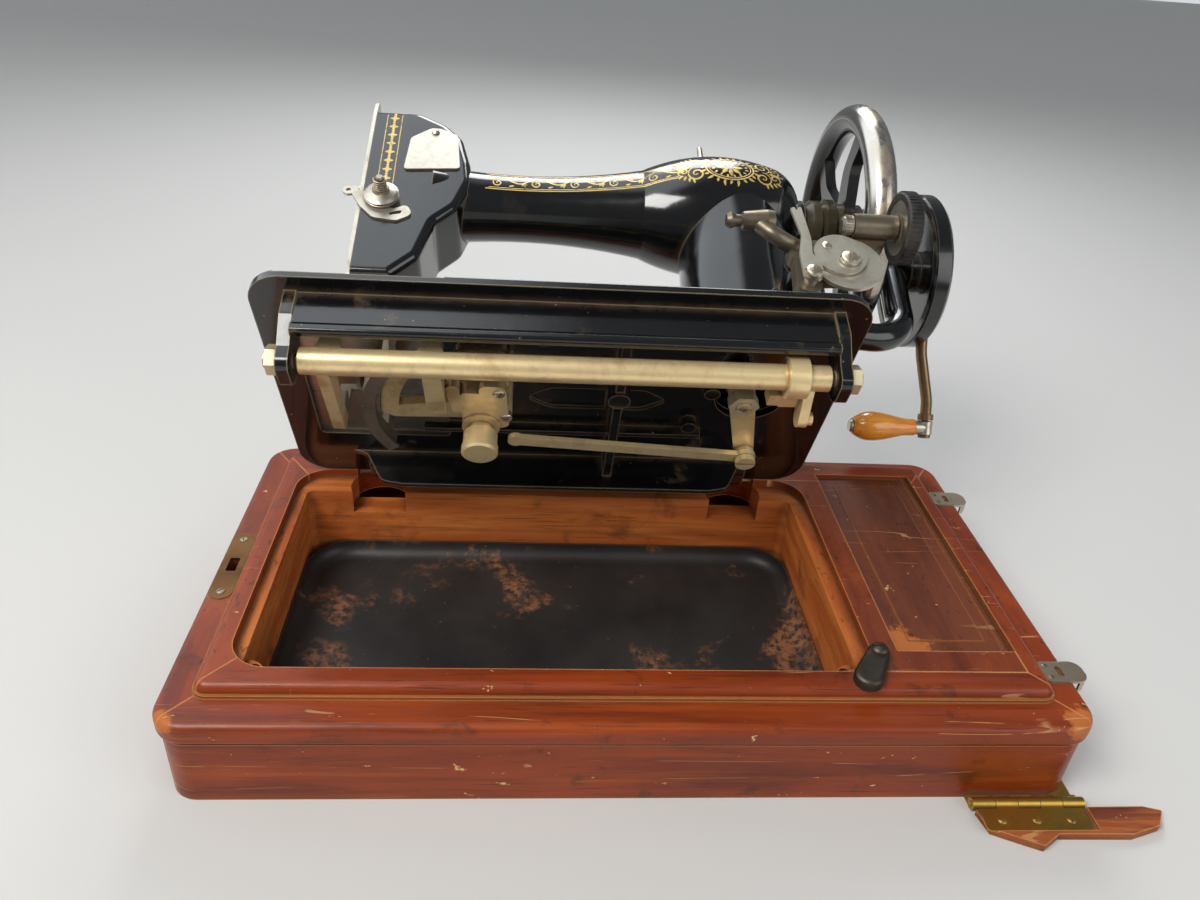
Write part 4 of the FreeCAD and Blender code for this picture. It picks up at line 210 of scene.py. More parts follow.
class Effects:
    """The shared effects, each a shader node group built once."""

    def __init__(self) -> None:
        """Build every effect, with the default of each input."""
        self.grain = self._make("wood grain", self._grain,
                                {"Vector": None, "Figure": 14.0, "Pores": 150.0},
                                ("Figure", "Pores", "Streaks"))
        self.edges = self._make("worn edges", self._edges,
                                {"Width": 0.0012, "Break": 220.0, "Low": 0.35})
        self.patches = self._make("patches", self._patches,
                                  {"Vector": None, "Scale": 30.0, "Low": 0.6, "Soft": 0.06})
        self.scratches = self._make("scratches", self._scratches,
                                    {"Vector": None, "Scale": 30.0, "Width": 0.02})
        # Dirt and painted shade in corners and against nearby parts, from ambient occlusion.
        self.grime_and_shade = self._make("grime in corners", self._grime_and_shade,
                                {"Reach": 0.006, "Break": 90.0})
        self.spot = self._make("worn spot", self._spot,
                               {"Centre": None, "Radius": 0.02, "Ragged": 60.0})

    @staticmethod
    def _make(name: str, fill: Callable, takes: dict[str, float | None],
              gives: Sequence[str] = ("Mask",)) -> bpy.types.NodeTree:
        """Make one group.

        Args:
            name: What the effect is called.
            fill: Lays out its nodes, given the bench, its inputs and its outputs.
            takes: Default of each input; a vector has none.
            gives: Name of each output.
        Returns:
            The finished group.
        """
        group = bpy.data.node_groups.new(name, "ShaderNodeTree")
        sockets = group.interface
        for label, default in takes.items():
            kind = "NodeSocketVector" if default is None else "NodeSocketFloat"
            made = sockets.new_socket(label, in_out="INPUT", socket_type=kind)
            if default is not None:
                made.default_value = default
        for label in gives:
            sockets.new_socket(label, in_out="OUTPUT", socket_type="NodeSocketFloat")
        bench = Bench(group)
        fill(bench, bench.node("NodeGroupInput").outputs, bench.node("NodeGroupOutput").inputs)
        return group

    @staticmethod
    def _grain(b: Bench, i: object, o: object) -> None:
        """Long figure, short dark pores and fine streaks."""
        pores = b.noise(b.place((0.35, 1.6, 1.6), (3, 1, 0), i["Vector"]), i["Pores"], 2.0, 0.6)
        b.feed(o["Figure"], b.noise(i["Vector"], i["Figure"], 5.0, 0.6, 0.6))
        b.feed(o["Pores"], b.step(pores, 0.62, 0.72))
        b.feed(o["Streaks"], b.noise(b.place((0.5, 2, 2), (0, 5, 2), i["Vector"]), i["Figure"],
                                     8.0, 0.75))

    @staticmethod
    def _edges(b: Bench, i: object, o: object) -> None:
        """Where the surface turns a corner, broken up by noise."""
        bevel = b.node("ShaderNodeBevel", {"Radius": i["Width"]}, samples=4)
        flat = b.node("ShaderNodeNewGeometry").outputs["Normal"]
        dot = b.vector("DOT_PRODUCT", bevel.outputs[0], flat)
        turn = b.math("SUBTRACT", 1.0, dot.outputs["Value"])
        broken = b.math("ADD", b.noise(b.place(), i["Break"], 4.0, 0.65), 0.5)
        b.feed(o["Mask"], b.step(b.times(b.times(turn, broken), 8.0), i["Low"],
                                 b.math("ADD", i["Low"], 0.35)))

    @staticmethod
    def _patches(b: Bench, i: object, o: object) -> None:
        """Ragged islands where noise is highest."""
        value = b.noise(i["Vector"], i["Scale"], 6.0, 0.62, 0.3)
        b.feed(o["Mask"], b.step(value, i["Low"], b.math("ADD", i["Low"], i["Soft"])))

    @staticmethod
    def _scratches(b: Bench, i: object, o: object) -> None:
        """Hair-thin lines that come and go."""
        masks = []
        for turn, stretch in ((0.4, 0.07), (-0.9, 0.06)):
            way = b.node("ShaderNodeMapping", {
                "Vector": i["Vector"], "Rotation": (turn, turn * 0.6, turn),
                "Scale": (stretch, 1.0, 1.0)})
            value = b.noise(way.outputs[0], i["Scale"], 2.0, 0.5, 0.2)
            away = b.math("ABSOLUTE", b.math("SUBTRACT", value, 0.5))
            line = b.math("LESS_THAN", away, i["Width"])
            gaps = b.step(b.noise(i["Vector"], 40.0 + 20 * turn, 2.0), 0.52, 0.62)
            masks.append(b.times(line, gaps))
        b.feed(o["Mask"], b.most(*masks))

    @staticmethod
    def _grime_and_shade(b: Bench, i: object, o: object) -> None:
        """Dirt held, and painted shade, where a piece folds in on itself or meets another part.
        """
        # Ambient occlusion stands in for the shade of corners and nearby parts as well as for
        # dirt.
        shade = b.node("ShaderNodeAmbientOcclusion", {"Distance": i["Reach"]}, samples=6)
        shut = b.math("SUBTRACT", 1.0, shade.outputs["AO"])
        broken = b.noise(b.place(), i["Break"], 4.0, 0.6)
        b.feed(o["Mask"], b.step(b.times(shut, b.math("ADD", broken, 0.4)), 0.18, 0.5))

    @staticmethod
    def _spot(b: Bench, i: object, o: object) -> None:
        """A worn place about one point, with a ragged rim."""
        here = b.place()
        gap = b.vector("DISTANCE", here, i["Centre"])
        share = b.math("DIVIDE", gap.outputs["Value"], i["Radius"])
        ragged = b.noise(here, i["Ragged"], 5.0, 0.65)
        b.feed(o["Mask"], b.step(b.math("SUBTRACT", b.times(ragged, 2.0), share), -0.05, 0.25))


# Finishes

@dataclass(frozen=True)
class Finish:
    """What every finish has: a name, and a way to become a material."""

    name: str

    def paint(self, b: Bench, fx: Effects) -> Feeds:
        """Lay out the finish and give what each input of its shader gets."""
        raise NotImplementedError

    def material(self, fx: Effects) -> Material:
        """Build the material from the shared effects."""
        made = bpy.data.materials.new(self.name)
        made.use_nodes = True
        made.node_tree.nodes.clear()
        b = Bench(made.node_tree)
        shader = b.node("ShaderNodeBsdfPrincipled", self.paint(b, fx))
        b.node("ShaderNodeOutputMaterial", {"Surface": shader.outputs[0]})
        return made


@dataclass(frozen=True)
class Varnish(Finish):
    """Old red-brown varnish on mahogany, worn through in places."""

    grain: Along
    deep: Colour = tone(92, 30, 6)
    body: Colour = tone(140, 54, 12)
    warm: Colour = tone(168, 78, 20)
    worn: Colour = tone(184, 104, 44)
    chip: Colour = tone(226, 176, 118)
    dust: Colour = tone(122, 84, 50)
    wear: float = 0.5
    patch: float = 0.70
    gloss: float = 0.34
    coat: float = 0.14
    rim: float = 0.7
    spots: tuple[tuple[Point, float], ...] = ()

    def paint(self, b: Bench, fx: Effects) -> Feeds:
        """Grain under varnish, then rubbed places, chips and dirt."""
        here, along = b.place(), b.place(self.grain.value)
        figure, pores, streaks = b.use(fx.grain, along, 7.0, 70.0)
        soot = b.mask(fx.patches, b.place(shift=(4, 1, 7)), 48.0, 0.60, 0.10)
        thin = b.mask(fx.patches, along, 6.0, self.patch, 0.10)
        rubbed = b.most(b.mask(fx.edges, 0.0016, 120.0, self.wear), b.times(thin, 0.6),
                        *(b.mask(fx.spot, *spot, 90.0) for spot in self.spots))
        chips = b.most(b.mask(fx.patches, b.place((0.6, 1, 1)), 150.0, 0.68, 0.02),
                       b.times(b.mask(fx.edges, 0.0009, 420.0, 0.95), self.rim),
                       b.times(b.mask(fx.scratches, here, 26.0, 0.0022), 0.4))
        dirt = b.mask(fx.grime_and_shade, 0.005, 140.0)
        cloud = b.step(b.noise(here, 9.0, 4.0, 0.6), 0.40, 0.70)
        colour = b.layers(b.blend(b.step(figure, 0.26, 0.62), self.deep, self.body),
                          (b.step(streaks, 0.46, 0.74), 0.7, self.warm),
                          (cloud, 0.3, self.deep), (pores, 0.6, tone(50, 16, 4)),
                          (soot, 0.45, tone(44, 18, 8)), (rubbed, 0.85, self.worn),
                          (chips, 1.0, self.chip), (dirt, 0.75, self.dust))
        haze = b.noise(here, 55.0, 5.0, 0.7)
        rough = b.fade(haze, self.gloss - 0.10, self.gloss + 0.22)
        dents = b.times(b.noise(here, 160.0, 4.0, 0.6), 0.6)
        height = b.math("ADD", b.times(pores, -0.5), b.math("SUBTRACT", dents, chips))
        return {"Base Color": colour, "Specular IOR Level": 0.34, "Coat Weight": self.coat,
                "Coat Roughness": 0.18, "Normal": b.relief(height, 0.00025),
                "Roughness": b.fade(b.most(chips, dirt, b.times(rubbed, 0.6)), rough, 0.75)}


@dataclass(frozen=True)
class BareWood(Finish):
    """Oiled but unvarnished wood of the well, darkened at its corners by dirt and painted shade.
    """

    grain: Along
    pale: Colour = tone(206, 120, 52)
    body: Colour = tone(172, 84, 30)
    stain: Colour = tone(84, 44, 20)

    def paint(self, b: Bench, fx: Effects) -> Feeds:
        """Grain, stains, and dirt with painted shade in the corners."""
        figure, pores, streaks = b.use(fx.grain, b.place(self.grain.value), 10.0, 80.0)
        colour = b.layers(b.blend(b.step(figure, 0.3, 0.7), self.body, self.pale),
                          (b.step(streaks, 0.5, 0.75), 0.5, self.stain),
                          (pores, 0.6, self.stain),
                          (b.mask(fx.patches, b.place(), 22.0, 0.58, 0.14), 0.7, self.stain),
                          # Dirt and painted shade: dark brown where ambient occlusion finds
                          # corners and nearby parts.
                          (b.mask(fx.grime_and_shade, 0.009, 60.0), 0.8, tone(58, 38, 24)))
        return {"Base Color": colour, "Roughness": b.fade(streaks, 0.42, 0.72),
                "Normal": b.relief(b.math("SUBTRACT", streaks, pores), 0.0002)}


@dataclass(frozen=True)
class BlackSheet(Finish):
    """Matte black sheet steel with rust bloom and specks of dust."""

    base: Colour = tone(33, 32, 32)
    rust: Colour = tone(158, 106, 70)

    def paint(self, b: Bench, fx: Effects) -> Feeds:
        """Cloudy black under rust, specks and dirt."""
        here = b.place()
        cloud = b.noise(here, 14.0, 6.0, 0.6)
        fine = b.step(b.noise(here, 260.0, 3.0, 0.6), 0.36, 0.6)
        bloom = b.times(b.mask(fx.patches, here, 15.0, 0.56, 0.10), fine)
        specks = b.mask(fx.patches, here, 420.0, 0.70, 0.02)
        colour = b.layers(b.blend(b.step(cloud, 0.3, 0.7), self.base, tone(50, 47, 45)),
                          (bloom, 0.8, self.rust), (specks, 0.7, tone(166, 142, 108)),
                          (b.mask(fx.grime_and_shade, 0.008, 90.0), 0.6, tone(96, 66, 42)))
        return {"Base Color": colour, "Roughness": b.fade(cloud, 0.36, 0.62), "Metallic": 0.1,
                "Normal": b.relief(b.math("ADD", b.noise(here, 30.0, 3.0), bloom), 0.0002)}


@dataclass(frozen=True)
class Japan(Finish):
    """Black japan over cast iron, glossy, nicked and dusty."""

    wear: float = 0.5
    specks: float = 0.72
    dusty: float = 0.25
    gloss: float = 0.08

    def paint(self, b: Bench, fx: Effects) -> Feeds:
        """Deep black under smears, dirt, specks and worn edges."""
        here = b.place()
        specks = b.mask(fx.patches, here, 330.0, self.specks, 0.02)
        smear = b.times(b.mask(fx.patches, here, 38.0, 0.60, 0.12), self.dusty)
        worn = b.mask(fx.edges, 0.0012, 160.0, self.wear)
        dirt = b.mask(fx.grime_and_shade, 0.007, 120.0)
        colour = b.layers(b.blend(b.noise(here, 18.0, 4.0), tone(7, 7, 8), tone(17, 17, 18)),
                          (smear, 1.0, tone(120, 100, 74)), (dirt, 0.45, tone(104, 82, 54)),
                          (specks, 0.85, tone(196, 178, 146)),
                          (worn, 0.75, tone(162, 142, 112)))
        haze = b.fade(b.noise(here, 45.0, 5.0, 0.7), self.gloss, self.gloss + 0.22)
        skin = b.math("SUBTRACT", b.noise(here, 90.0, 3.0, 0.55), specks)
        return {"Base Color": colour, "Coat Weight": 0.6, "Coat Roughness": 0.07,
                "Roughness": b.fade(b.most(specks, worn, dirt, smear), haze, 0.62),
                "Normal": b.relief(skin, 0.00012)}


@dataclass(frozen=True)
class Metal(Finish):
    """Bare or plated metal with stains and rust."""

    base: Colour
    stain: Colour
    amount: float = 0.5
    rough: float = 0.26
    rust: float = 0.0
    shine: float = 1.0

    def paint(self, b: Bench, fx: Effects) -> Feeds:
        """Stained metal, dulled and darkened where it is rusty, dirty or in painted crevice
        shade.
        """
        here = b.place()
        fine = b.noise(here, 120.0, 5.0, 0.7)
        rusty = b.times(b.mask(fx.patches, here, 70.0, 0.75 - 0.4 * self.rust, 0.08),
                        min(1.0, self.rust * 2))
        # Rust, and dirt with painted shade where ambient occlusion finds crevices and nearby
        # parts.
        rust_dirt_and_shade = b.most(b.times(b.mask(fx.grime_and_shade, 0.004, 200.0), 0.8), rusty)
        colour = b.layers(self.base,
                          (b.mask(fx.patches, here, 26.0, 0.5, 0.22), self.amount, self.stain),
                          (b.step(fine, 0.45, 0.8), 0.35, self.stain),
                          (rust_dirt_and_shade, 1.0, tone(88, 56, 34)))
        rough = b.fade(fine, self.rough - 0.08, self.rough + 0.16)
        return {"Base Color": colour, "Metallic": b.fade(rust_dirt_and_shade, self.shine, 0.15),
                "Roughness": b.fade(rust_dirt_and_shade, rough, 0.75),
                "Normal": b.relief(b.math("ADD", fine, rust_dirt_and_shade), 0.00008)}


@dataclass(frozen=True)
class Rim(Finish):
    """Handwheel finish: plated rim outside, black web and spokes inside."""

    hub: Vector
    inner: float
    outer: float

    def paint(self, b: Bench, fx: Effects) -> Feeds:
        """Plating that ends at a radius about the hub."""
        here = b.place()
        flat = b.vector("MULTIPLY", b.place(shift=tuple(-self.hub)), (0, 1, 1))
        size = b.vector("LENGTH", flat.outputs[0]).outputs["Value"]
        plated = b.step(size, self.inner, self.inner + 0.0006)
        rubbed = b.times(b.step(size, self.outer - 0.004, self.outer),
                         b.step(b.noise(here, 40.0, 5.0, 0.7), 0.40, 0.62))
        chrome = b.layers(b.blend(b.noise(here, 30.0), tone(206, 204, 200), tone(168, 160, 148)),
                          (rubbed, 0.8, tone(196, 174, 146)))
        black = b.layers(b.blend(b.noise(here, 50.0), tone(12, 12, 12), tone(30, 28, 26)),
                         (b.step(size, 0.019, 0.0165), 0.16, tone(150, 134, 96)))
        rough = b.fade(rubbed, b.fade(b.noise(here, 140.0, 5.0), 0.08, 0.24), 0.42)
        return {"Base Color": b.blend(plated, black, chrome), "Coat Weight": 0.2,
                "Metallic": b.fade(b.times(rubbed, 0.4), plated, 0.4),
                "Roughness": b.fade(plated, 0.22, rough)}


@dataclass(frozen=True)
class Lacquer(Finish):
    """Clear orange lacquer on a turned beech grip, with nicks."""

    base: Colour = tone(252, 160, 38)
    dark: Colour = tone(224, 118, 20)

    def paint(self, b: Bench, fx: Effects) -> Feeds:
        """Grain and nicks under a glossy coat."""
        figure, pores, streaks = b.use(fx.grain, b.place(Along.X.value), 26.0, 180.0)
        nicks = b.mask(fx.patches, b.place(), 150.0, 0.70, 0.03)
        colour = b.layers(b.blend(b.step(figure, 0.35, 0.7), self.dark, self.base),
                          (streaks, 0.4, tone(255, 190, 84)), (nicks, 0.7, tone(104, 52, 18)))
        return {"Base Color": colour, "Roughness": b.fade(nicks, 0.2, 0.6), "Coat Weight": 0.7,
                "Coat Roughness": 0.08, "Normal": b.relief(b.math("ADD", pores, nicks), 0.0001)}


@dataclass(frozen=True)
class Rubber(Finish):
    """Hardened black rubber with a grey bloom."""

    def paint(self, b: Bench, fx: Effects) -> Feeds:
        """Black under a bloom."""
        here = b.place()
        bloom = b.step(b.noise(here, 90.0, 5.0, 0.7), 0.4, 0.75)
        return {"Base Color": b.blend(bloom, tone(24, 23, 22), tone(66, 60, 54)),
                "Roughness": b.fade(bloom, 0.5, 0.8),
                "Normal": b.relief(b.noise(here, 500.0, 3.0), 0.00008)}


@dataclass(frozen=True)
class GoldLeaf(Finish):
    """Gold transfer ornament, rubbed thin."""

    def paint(self, b: Bench, fx: Effects) -> Feeds:
        """Gold in two tones, brown where it is rubbed."""
        here = b.place()
        rubbed = b.mask(fx.patches, here, 120.0, 0.56, 0.08)
        gold = b.blend(b.noise(here, 300.0), tone(228, 200, 118), tone(198, 164, 84))
        return {"Base Color": b.layers(gold, (rubbed, 0.7, tone(92, 74, 42))),
                "Metallic": b.fade(rubbed, 0.35, 0.1), "Roughness": b.fade(rubbed, 0.36, 0.5),
                "Coat Weight": 0.3}


# Places on the machine

class MachineFrame:
    """The machine's own frame: x along the bed, v to its front edge, w up.

    The hinge line lies behind the bed's rear edge and above its underside.
    """

    hinge_v = -5.0 * MM
    hinge_w = 2.5 * MM

    def __init__(self) -> None:
        """Read the hinge line and the lean from the frame's joints."""
        tilt = next(j for j in frame["joints"] if j["name"] == "machine_tilt")
        self.hinge = Vector(tilt["pos_m"])
        lean = math.radians(tilt["range_deg"][1])
        back = Matrix.Rotation(-lean, 4, "X")
        own = Matrix(((1, 0, 0, 0), (0, -1, 0, self.hinge_v), (0, 0, 1, -self.hinge_w),
                      (0, 0, 0, 1)))
        down = Matrix.Translation(Vector((0, self.hinge.y, self.hinge.z)))
        self.matrix = down @ back @ own

    def point(self, x: float, v: float, w: float) -> Vector:
        """World place of a machine point given in millimetres."""
        return self.matrix @ Vector((x * MM, v * MM, w * MM))

    def way(self, x: float, v: float, w: float) -> Vector:
        """World direction of a machine direction."""
        return (self.matrix.to_3x3() @ Vector((x, v, w))).normalized()

    def axle(self, start: Sequence[float], way: Sequence[float]) -> Matrix:
        """Placement whose Z runs along a machine direction from a machine point."""
        turn = self.way(*way).to_track_quat("Z", "Y").to_matrix().to_4x4()
        return Matrix.Translation(self.point(*start)) @ turn


def surface(node: str) -> BVHTree:
    """Search tree over a CAD node's faces, for laying work on it."""
    mesh = NODES[node].data
    return BVHTree.FromPolygons([v.co[:] for v in mesh.vertices],
                                [tuple(p.vertices) for p in mesh.polygons])


def corners(node: str) -> tuple[Vector, Vector]:
    """Least and greatest corner of a CAD node in the world."""
    points = [v.co for v in NODES[node].data.vertices]
    return (Vector([min(p[k] for p in points) for k in range(3)]),
            Vector([max(p[k] for p in points) for k in range(3)]))


def dress(material: Material, *names: str) -> None:
    """Give CAD nodes one material."""
    for name in names:
        data = NODES[name].data
        data.materials.clear()
        data.materials.append(material)


def piece(name: str, mesh: Mesh, body: str, slot: str,
          material: Material) -> None:
    """Put a finished mesh in the scene on its CAD body."""
    mesh.materials.clear()
    mesh.materials.append(material)
    made = link(name, mesh)
    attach(made, body)
    LOG.info("%s: %d faces on %s", name, len(mesh.polygons), body)


# Ornament

# A stroke of the scrollwork: s, t and width in millimetres at each of its points.
Stroke = list[tuple[float, float, float]]


def shares(count: int) -> list[float]:
    """Even steps from 0 to 1."""
    return [k / count for k in range(count + 1)]


def spiral(s: float, t: float, size: float, turns: float, start: float,
           hand: int, width: float) -> Stroke:
    """A curl that winds in on the eye s, t from a foot at an angle in degrees.

    Args:
        size: Distance of the foot from the eye.
        hand: 1 to wind anticlockwise, -1 clockwise.
    """
    made = []
    for f in shares(max(10, int(18 * turns))):
        angle = math.radians(start) + hand * f * turns * math.tau
        reach = size * (1 - f) ** 0.8 + 0.25
        wide = width * (0.35 + 0.65 * math.sin(math.pi * min(1.0, f * 1.15)))
        if f > 0.93:
            wide = width * 1.1
        made.append((s + reach * math.cos(angle), t + reach * math.sin(angle), wide))
    return made


def leaf(s: float, t: float, angle: float, length: float, width: float,
         bend: float = 0.3) -> Stroke:
    """A pointed leaf from its foot at s, t."""
    made = []
    turn = math.radians(angle)
    for f in shares(8):
        side = bend * length * f * f
        along = length * f
        made.append((s + along * math.cos(turn) - side * math.sin(turn),
                     t + along * math.sin(turn) + side * math.cos(turn),
                     0.12 + width * math.sin(math.pi * f ** 0.8) ** 0.9))
    return made


def wave(s0: float, s1: float, tall: float, length: float, width: float) -> Stroke:
    """A stem that waves along the s axis."""
    count = int((s1 - s0) / 1.2)
    reach = [s0 + (s1 - s0) * k / count for k in range(count + 1)]
    return [(s, tall * math.sin((s - s0) / length * math.tau), width) for s in reach]


def rule(s0: float, t0: float, s1: float, t1: float, width: float) -> Stroke:
    """A straight line."""
    count = max(2, int(math.hypot(s1 - s0, t1 - t0) / 2.5))
    return [(s0 + (s1 - s0) * k / count, t0 + (t1 - t0) * k / count, width)
            for k in range(count + 1)]


def arc(s: float, t: float, rs: float, rt: float, a0: float, a1: float,
        width: float) -> Stroke:
    """Part of an oval, angles in degrees."""
    count = max(6, int(abs(a1 - a0) / 9))
    angles = [math.radians(a0 + (a1 - a0) * k / count) for k in range(count + 1)]
    return [(s + rs * math.cos(a), t + rt * math.sin(a), width) for a in angles]


def petals(s: float, t: float, rs: float, rt: float, count: int,
           shapes: Sequence[Point], first: float = 0.0) -> Iterator[Stroke]:
    """Leaves that point out from an oval, with length, width and bend in turn."""
    for k in range(count):
        a = first + k * 360 / count
        at = math.radians(a)
        yield leaf(s + rs * math.cos(at), t + rt * math.sin(at), a, *shapes[k % len(shapes)])


class Inlay:
    """Lays strokes on a casting as thin raised leaf.

    A stroke's section has its edges and crown above the surface and its root below,
    by millimetres; reach and widest are metres.
    """

    weight = 1.3
    reach = 0.25
    steepest = -0.12
    widest = 0.004
    edge, crown, root = 0.03, 0.10, 0.25

    def __init__(self, tree: BVHTree, origin: Vector, across: Vector, up: Vector) -> None:
        """Keep the surface and, clear in front of it, the plane of s and t."""
        self.tree, self.origin, self.across, self.up = tree, origin, across, up
        self.look = up.cross(across).normalized()
        self.form = bmesh.new()

    def find(self, s: float, t: float) -> tuple[Vector, Vector] | None:
        """Where a point of the plane lands on the surface, and the normal there."""
        start = self.origin + self.across * (s * MM) + self.up * (t * MM)
        place, normal, _, _ = self.tree.ray_cast(start, self.look, self.reach)
        if place is None or normal.dot(self.look) > self.steepest:
            return None
        return place, normal

    def stroke(self, path: Stroke) -> None:
        """Add one stroke; parts that miss the surface are left out."""
        run = []
        for k, (s, t, width) in enumerate(path):
            before, after = path[max(0, k - 1)], path[min(len(path) - 1, k + 1)]
            ds, dt = after[0] - before[0], after[1] - before[1]
            size = math.hypot(ds, dt) or 1.0
            half = max(width, 0.14) * self.weight / 2
            left = self.find(s - dt / size * half, t + ds / size * half)
            right = self.find(s + dt / size * half, t - ds / size * half)
            middle = self.find(s, t)
            if left and right and middle and (left[0] - right[0]).length < self.widest:
                run.append((left[0] + left[1] * self.edge * MM,
                            middle[0] + middle[1] * self.crown * MM,
                            right[0] + right[1] * self.edge * MM,
                            middle[0] - middle[1] * self.root * MM))
            else:
                self._loft(run)
                run = []
        self._loft(run)

    def _loft(self, run: list[tuple[Vector, ...]]) -> None:
        """Skin one unbroken run of cross-sections."""
        if len(run) < 2:
            return
        rings = [[self.form.verts.new(p) for p in ring] for ring in run]
        for a, b in zip(rings, rings[1:]):
            for k in range(4):
                n = (k + 1) % 4
                self.form.faces.new((a[k], b[k], b[n], a[n]))
        self.form.faces.new(rings[0])
        self.form.faces.new(rings[-1][::-1])

    def mesh(self, name: str) -> Mesh:
        """Close the work and hand over its mesh."""
        bmesh.ops.recalc_face_normals(self.form, faces=self.form.faces)
        return mesh_from(name, self.form)


@dataclass
class GoldOrnament:
    """Gold lines, vine and rosette on the arm, head and bed; sizes in millimetres."""

    place: MachineFrame
    lean: float = 6.0
    band: tuple[float, float] = (-86.0, 34.0)
    step: float = 12.0
    rosette: tuple[float, float] = (64.0, 0.0)
    border: tuple[float, float, float] = (145.0, 74.0, 11.0)

    def arm_vine(self) -> Iterator[Stroke]:
        """Running vine between two rules along the arm."""
        s0, s1 = self.band
        for side in (-1, 1):
            yield rule(s0, side * 7.4, s1, side * 7.4, 0.55)
            yield rule(s0 + 2, side * 6.3, s1 - 2, side * 6.3, 0.25)
        yield wave(s0 + 3, s1, 2.6, 24.0, 0.7)
        for k in range(int((s1 - s0) / self.step)):
            s = s0 + 9 + k * self.step
            side = 1 if k % 2 == 0 else -1
            yield spiral(s - 1.5, -side * 2.3, 3.0, 1.35, side * 90, side, 0.75)
            for turn, size in ((0, 3.6), (38, 3.0), (-34, 2.6)):
                yield leaf(s + 2.6, side * 1.6, side * (64 + turn), size, 1.15, 0.22 * side)
            yield leaf(s + 5.5, -side * 4.9, 180 * (side < 0), 3.2, 0.9, 0.2)

    def arm_rosette(self) -> Iterator[Stroke]:
        """Oval rosette with C-scrolls on the shoulder."""
        s, t = self.rosette
        for rs, rt, width in ((15, 10.5, 0.8), (13.2, 9.0, 0.35)):
            yield arc(s, t, rs, rt, 0, 360, width)
        yield from petals(s, t, 2.2, 1.8, 8, ((6.0, 2.0, 0.08),))
        yield from petals(s, t, 9.6, 6.6, 16, ((2.3, 0.9, 0.1),), 11)
        yield from petals(s, t, 15.6, 11.1, 24, ((2.8, 1.2, 0.3), (4.2, 1.2, 0.3),
                                                 (2.8, 1.2, -0.3), (4.2, 1.2, -0.3)))
        for way in (-1, 1):
            foot = s + way * 21
            for side in (-1, 1):
                yield spiral(foot, t + side * 5.6, 5.6, 1.6, -side * 90, side * way, 0.95)
                yield spiral(foot + way * 8, t + side * 3.4, 3.6, 1.3, side * 90, -side * way,
                             0.8)
                for k in range(4):
                    yield leaf(foot + way * (2 + 2.2 * k), t + side * (9.4 - k),
                               90 * side - way * side * 18 * k, 3.4, 1.1, 0.2)
            yield leaf(s + way * 25, t, 90 - 90 * way, 9.0, 1.9, 0.0)

    def head_chain(self) -> Iterator[Stroke]:
        """Chain of lozenges and dots down the front of the head."""
        for s in (-4.6, 4.6):
            yield rule(s, -38, s, 38, 0.4)
        for k in range(9):
            t = -33 + k * 8.2
            yield from petals(0, t, 0, 0, 4, ((3.0, 1.4, 0.0), (3.6, 1.4, 0.0)))
            yield arc(0, t + 4.1, 0.5, 0.5, 0, 360, 0.7)

    def bed_border(self) -> Iterator[Stroke]:
        """Double rule round the bed with a scroll in each corner and a middle spray."""
        for inset, width in ((0.0, 1.0), (2.6, 0.4)):
            x, v, r = (size - inset for size in self.border)
            for side in (-1, 1):
                yield rule(-x + r, side * v, x - r, side * v, width)
                yield rule(side * x, -v + r, side * x, v - r, width)
            for k, (cs, cv) in enumerate(((1, 1), (-1, 1), (-1, -1), (1, -1))):
                yield arc(cs * (x - r), cv * (v - r), r, r, 90 * k, 90 * k + 90, width)
        for cs, cv in ((-1, -1), (-1, 1), (1, -1), (1, 1)):
            s, t = cs * 132.0, cv * 61.0
            yield spiral(s, t, 6.0, 1.5, 45 * cv, cs * cv, 1.1)
            for k in range(5):
                a = math.degrees(math.atan2(-cv, -cs)) + (k - 2) * 24
                yield leaf(s, t, a, 9.0 - abs(k - 2) * 1.6, 1.8, 0.1)
        for way in (-1, 1):
            yield [(way * s, t, width) for s, t, width in wave(0, 60, 3.0, 30, 0.9)]
            for k in range(5):
                s = way * (8 + 12 * k)
                side = 1 if k % 2 else -1
                yield spiral(s, side * 5.0, 4.0, 1.3, -90 * side, side * way, 0.9)
                yield leaf(s, side * 2, 90 * side - way * 30, 6.5, 1.7, 0.2)

    def build(self, gold: Material) -> None:
        """Lay all the gold."""
        here = self.place
        lean = math.radians(self.lean)
        look = Vector((0, math.cos(lean), math.sin(lean)))
        up = Vector((0, -math.sin(lean), math.cos(lean)))
        clear = 120
        start = (0, 85 + clear * look.y, 145 + clear * look.z)
        for name, node, origin, upward, parts in (
                ("arm_scrollwork", "arm", start, up, (self.arm_vine, self.arm_rosette)),
                ("head_chain", "arm", (-146, 160, 166), (0, 0, 1), (self.head_chain,)),
                ("bed_border", "bed", (-37.8, 83, 40), (0, -1, 0), (self.bed_border,))):
            work = Inlay(surface(node), here.point(*origin), here.way(1, 0, 0),
                         here.way(*upward))
            for part in parts:
                for path in part():
                    work.stroke(path)
            piece(name, work.mesh(name), "machine", "old_brass", gold)


# Repeated small work, grown with Geometry Nodes

